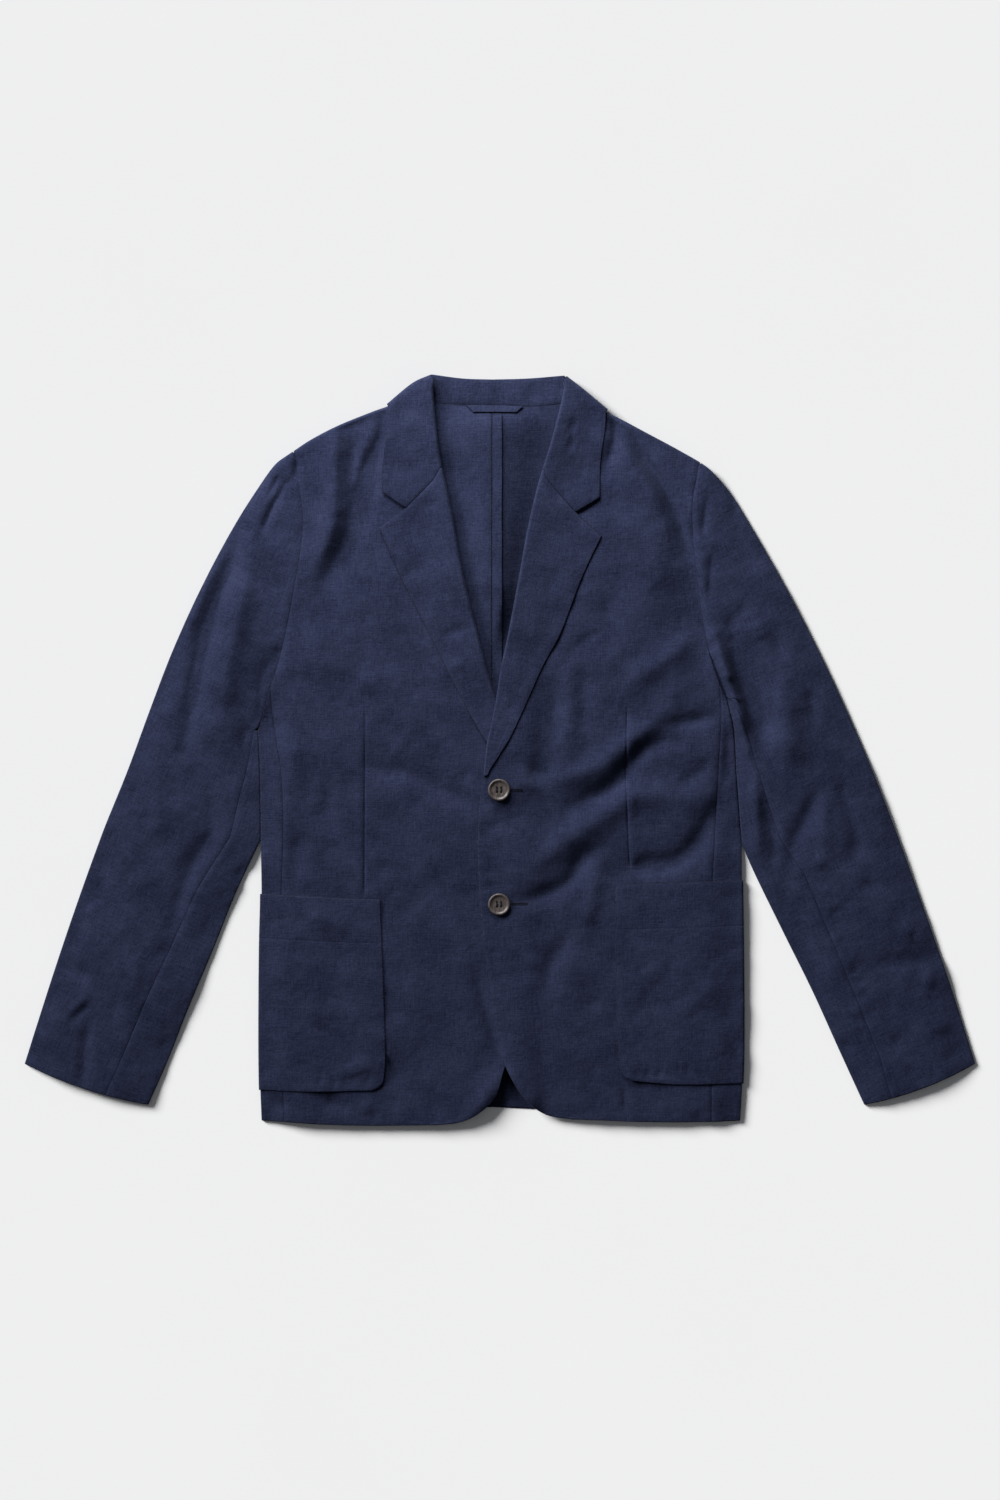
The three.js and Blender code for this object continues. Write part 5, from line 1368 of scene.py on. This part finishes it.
def strands(name, runs, radius, material, sides=8):
    """Rounded strands of thread along short runs of points, as one mesh."""
    vertices, faces = [], []
    for run in runs:
        run = np.asarray(run, float)
        step = np.gradient(run, axis=0)
        step /= np.linalg.norm(step, axis=1)[:, None]
        side = np.cross(step, (0, 0, 1))
        side /= np.maximum(np.linalg.norm(side, axis=1), 1e-6)[:, None]
        up = np.cross(side, step)
        start = len(vertices)
        angle = 2 * math.pi * np.arange(sides) / sides
        for point, a, b in zip(run, side, up):
            vertices.extend(point + radius * (np.outer(np.cos(angle), a) + np.outer(np.sin(angle), b)))
        for level in range(len(run) - 1):
            for corner in range(sides):
                after = (corner + 1) % sides
                low, high = start + level * sides, start + (level + 1) * sides
                faces.append((low + corner, low + after, high + after, high + corner))
        faces.append(tuple(start + corner for corner in range(sides))[::-1])
        last = start + (len(run) - 1) * sides
        faces.append(tuple(last + corner for corner in range(sides)))
    return new_piece(name, vertices, faces, material)


def arch(start, end, rise, steps=6):
    """Run of points from one point to another, arched upward."""
    share = np.linspace(0, 1, steps + 1)[:, None]
    run = np.asarray(start) + (np.asarray(end, float) - np.asarray(start)) * share
    run[:, 2] += (rise * 4 * share * (1 - share))[:, 0]
    return run


def stitched(name, line, height, row, material):
    """Row of stitches along a line."""
    total = np.hypot(*np.diff(line, axis=0).T).sum()
    runs = []
    for place in np.arange(row.pitch / 2, total - row.pitch / 2, row.pitch):
        ends = spaced(line, np.array([place - row.length / 2, place + row.length / 2]) / total)
        z = height(*ends.T) + WALL / 2 - STITCH.sunk
        runs.append(arch((*ends[0], z[0]), (*ends[1], z[1]), STITCH.rise))
    return strands(name, runs, THREAD.stitch, material, sides=6)


def button_thread(name, y, height, material):
    half = BUTTON.spacing / 2
    top = height + BUTTON.thickness * BUTTON_FACE
    runs = []
    for side in (-half, half):
        for offset in (-BUTTON_STITCH.offset, BUTTON_STITCH.offset):
            x = BUTTON.x + side + offset
            over = arch((x, y - half, top), (x, y + half, top), BUTTON_STITCH.rise)
            low = top - BUTTON_STITCH.sunk
            runs.append(np.vstack([(x, y - half, low), over, (x, y + half, low)]))
    return strands(name, runs, THREAD.button, material)


def buttonhole(name, start, end, y, surface, material):
    """Keyhole worked in thread: close stitches across both lips, round an open slit."""
    ways = []
    for x in np.arange(start, end, HOLE_STITCH.pitch):
        for side in (-1, 1):
            ways.append([(x, y + side * HOLE_STITCH.slit), (x, y + side * HOLE_STITCH.lip)])
    for angle in np.radians(HOLE_STITCH.fan_angles):
        direction = np.array([math.cos(angle), math.sin(angle)])
        ways.append([np.array([end, y]) + direction * reach
                     for reach in (HOLE_STITCH.fan_start, HOLE_STITCH.fan_end)])
    runs = []
    for near, far in ways:
        z = surface(np.array([near[0], far[0]]), np.array([near[1], far[1]])) + WALL / 2 - HOLE_STITCH.sunk
        runs.append(arch((*near, z[0]), (*far, z[1]), HOLE_STITCH.rise, HOLE_STITCH.steps))
    return strands(name, runs, THREAD.buttonhole, material, sides=6)


# Camera, lights and floor

def add_camera():
    data = bpy.data.cameras.new("camera")
    data.lens, data.sensor_width = CAMERA.lens, CAMERA.sensor
    camera = added("camera", data)
    camera.location = (0, 0, CAMERA.frame_height * CAMERA.lens / CAMERA.sensor)
    bpy.context.scene.camera = camera


def add_lamp(name, data, way):
    """A lamp that shines along a direction."""
    lamp = added(name, data)
    lamp.rotation_mode = "QUATERNION"
    lamp.rotation_quaternion = way.to_track_quat("-Z", "Y")
    return lamp


def add_lights(garment):
    """Soft light from the upper left, with a nearer panel that lights only the garment."""
    bpy.context.scene.view_settings.view_transform = "Standard"
    sun = bpy.data.lights.new("window", "SUN")
    sun.energy, sun.angle = SUN.strength, math.radians(SUN.softness)
    elevation, heading = math.radians(SUN.elevation), math.radians(SUN.heading)
    level = math.cos(elevation)
    way = Vector((level * math.cos(heading), level * math.sin(heading), -math.sin(elevation)))
    add_lamp("window", sun, way)

    panel = bpy.data.lights.new("panel", "AREA")
    panel.energy, panel.size = PANEL.power, PANEL.size
    lamp = add_lamp("panel", panel, Vector(PANEL.aim) - Vector(PANEL.place))
    lamp.location = PANEL.place
    lamp.light_linking.receiver_collection = garment

    world = bpy.data.worlds.new("room")
    world.use_nodes = True
    background = world.node_tree.nodes["Background"]
    background.inputs["Color"].default_value = (0.93, 0.95, 1.0, 1)
    background.inputs["Strength"].default_value = SKY
    bpy.context.scene.world = world


def add_floor():
    reach, level = FLOOR.reach, FLOOR.level
    corners = [(-reach, -reach, level), (reach, -reach, level), (reach, reach, level), (-reach, reach, level)]
    floor = plain_object("floor", corners, [(0, 1, 2, 3)])
    floor.data.materials.append(floor_material())


def dress():
    # The pale colour serves the slubs and free edges lightened as wear and as painted highlight; the
    # near-black colour is painted shade at the borders
    navy = linen("navy_linen", dark=(0.0030, 0.0044, 0.0140), light=(0.0180, 0.0224, 0.0482),
                 worn_and_highlit=(0.11, 0.125, 0.19), painted_shade=(0.0012, 0.0016, 0.0048))
    thread = thread_material("navy_thread", (0.006, 0.008, 0.019))
    dark_thread = thread_material("dark_thread", (0.004, 0.0045, 0.009))
    lines = {"right": half_lines(RIGHT), "left": half_lines(LEFT)}
    for label, half in (("right", RIGHT), ("left", LEFT)):
        sleeve = sleeve_sections(half, lines[label])
        tilt = SLEEVE_TILT * half["sign"]
        cloth(f"back_{label}", back_panel(half, lines[label], NECKLINE[label]), navy, sewn=["right"])
        cloth(f"side_panel_{label}", side_panel(lines[label]), navy, sewn=["left"], free=["bottom"])
        cloth(f"front_{label}", front_panel(half, lines[label]), navy, sewn=["left"],
              free=["right", "bottom"])
        cloth(f"sleeve_top_{label}", top_sleeve(sleeve), navy, angle=tilt, sewn=["left"], free=["bottom"])
        cloth(f"sleeve_under_{label}", under_sleeve(sleeve), navy, angle=tilt, sewn=["right"],
              free=["bottom"])
        cloth(f"lapel_{label}", lapel(half, lines[label]), navy, angle=-LAPEL_TILT * half["sign"],
              sewn=["top"], free=["right"])
        cloth(f"pocket_{label}", pocket(half, lines[label]), navy, free=["top", "left", "bottom"])
    cloth("collar_stand", collar_stand(), navy, sewn=["left"])
    cloth("collar", collar(lines["right"], lines["left"]), navy, free=["right"], sewn=["top", "bottom"])
    cloth("back_seam_allowance", seam_allowance(), navy, free=["right"])
    cloth("hanger_loop", hanger_loop(), navy, free=["right"])

    left_height = panel_height(LEFT)
    button_material = horn("dark_horn", dark=(0.017, 0.0135, 0.013), light=(0.060, 0.048, 0.045))
    for name, y in BUTTON_HEIGHTS.items():
        surface = left_height(np.array([BUTTON.x], float), np.array([y]))[0] + WALL / 2 + BUTTON.seat
        button(name, y, surface, button_material)
        button_thread(name + "_thread", y, surface, dark_thread)
    for name, (start, end, y) in BUTTONHOLES.items():
        buttonhole(name, start, end, y, left_height, dark_thread)
    stitch_x = CENTRE_SEAM - CENTRE_STITCHES.offset
    centre_line = straight((stitch_x, ALLOWANCE.top), (stitch_x, ALLOWANCE.bottom), 2)
    stitched("centre_back_stitches", centre_line, back_layer, CENTRE_STITCHES, thread)
    loop_line = straight((LOOP.left + LOOP_STITCHES.inset, LOOP.bottom + LOOP_STITCHES.left_rise),
                         (LOOP.right - LOOP_STITCHES.inset, LOOP.bottom + LOOP_STITCHES.right_rise), 2)
    stitched("loop_stitches", loop_line, loop_height, LOOP_STITCHES, thread)


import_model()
garment = bpy.data.collections.new("garment")
bpy.context.scene.collection.children.link(garment)
add_camera()
add_lights(garment)
add_floor()
given = list(bpy.context.scene.objects)
dress()
for piece in list(bpy.context.scene.objects):
    if piece not in given:
        garment.objects.link(piece)
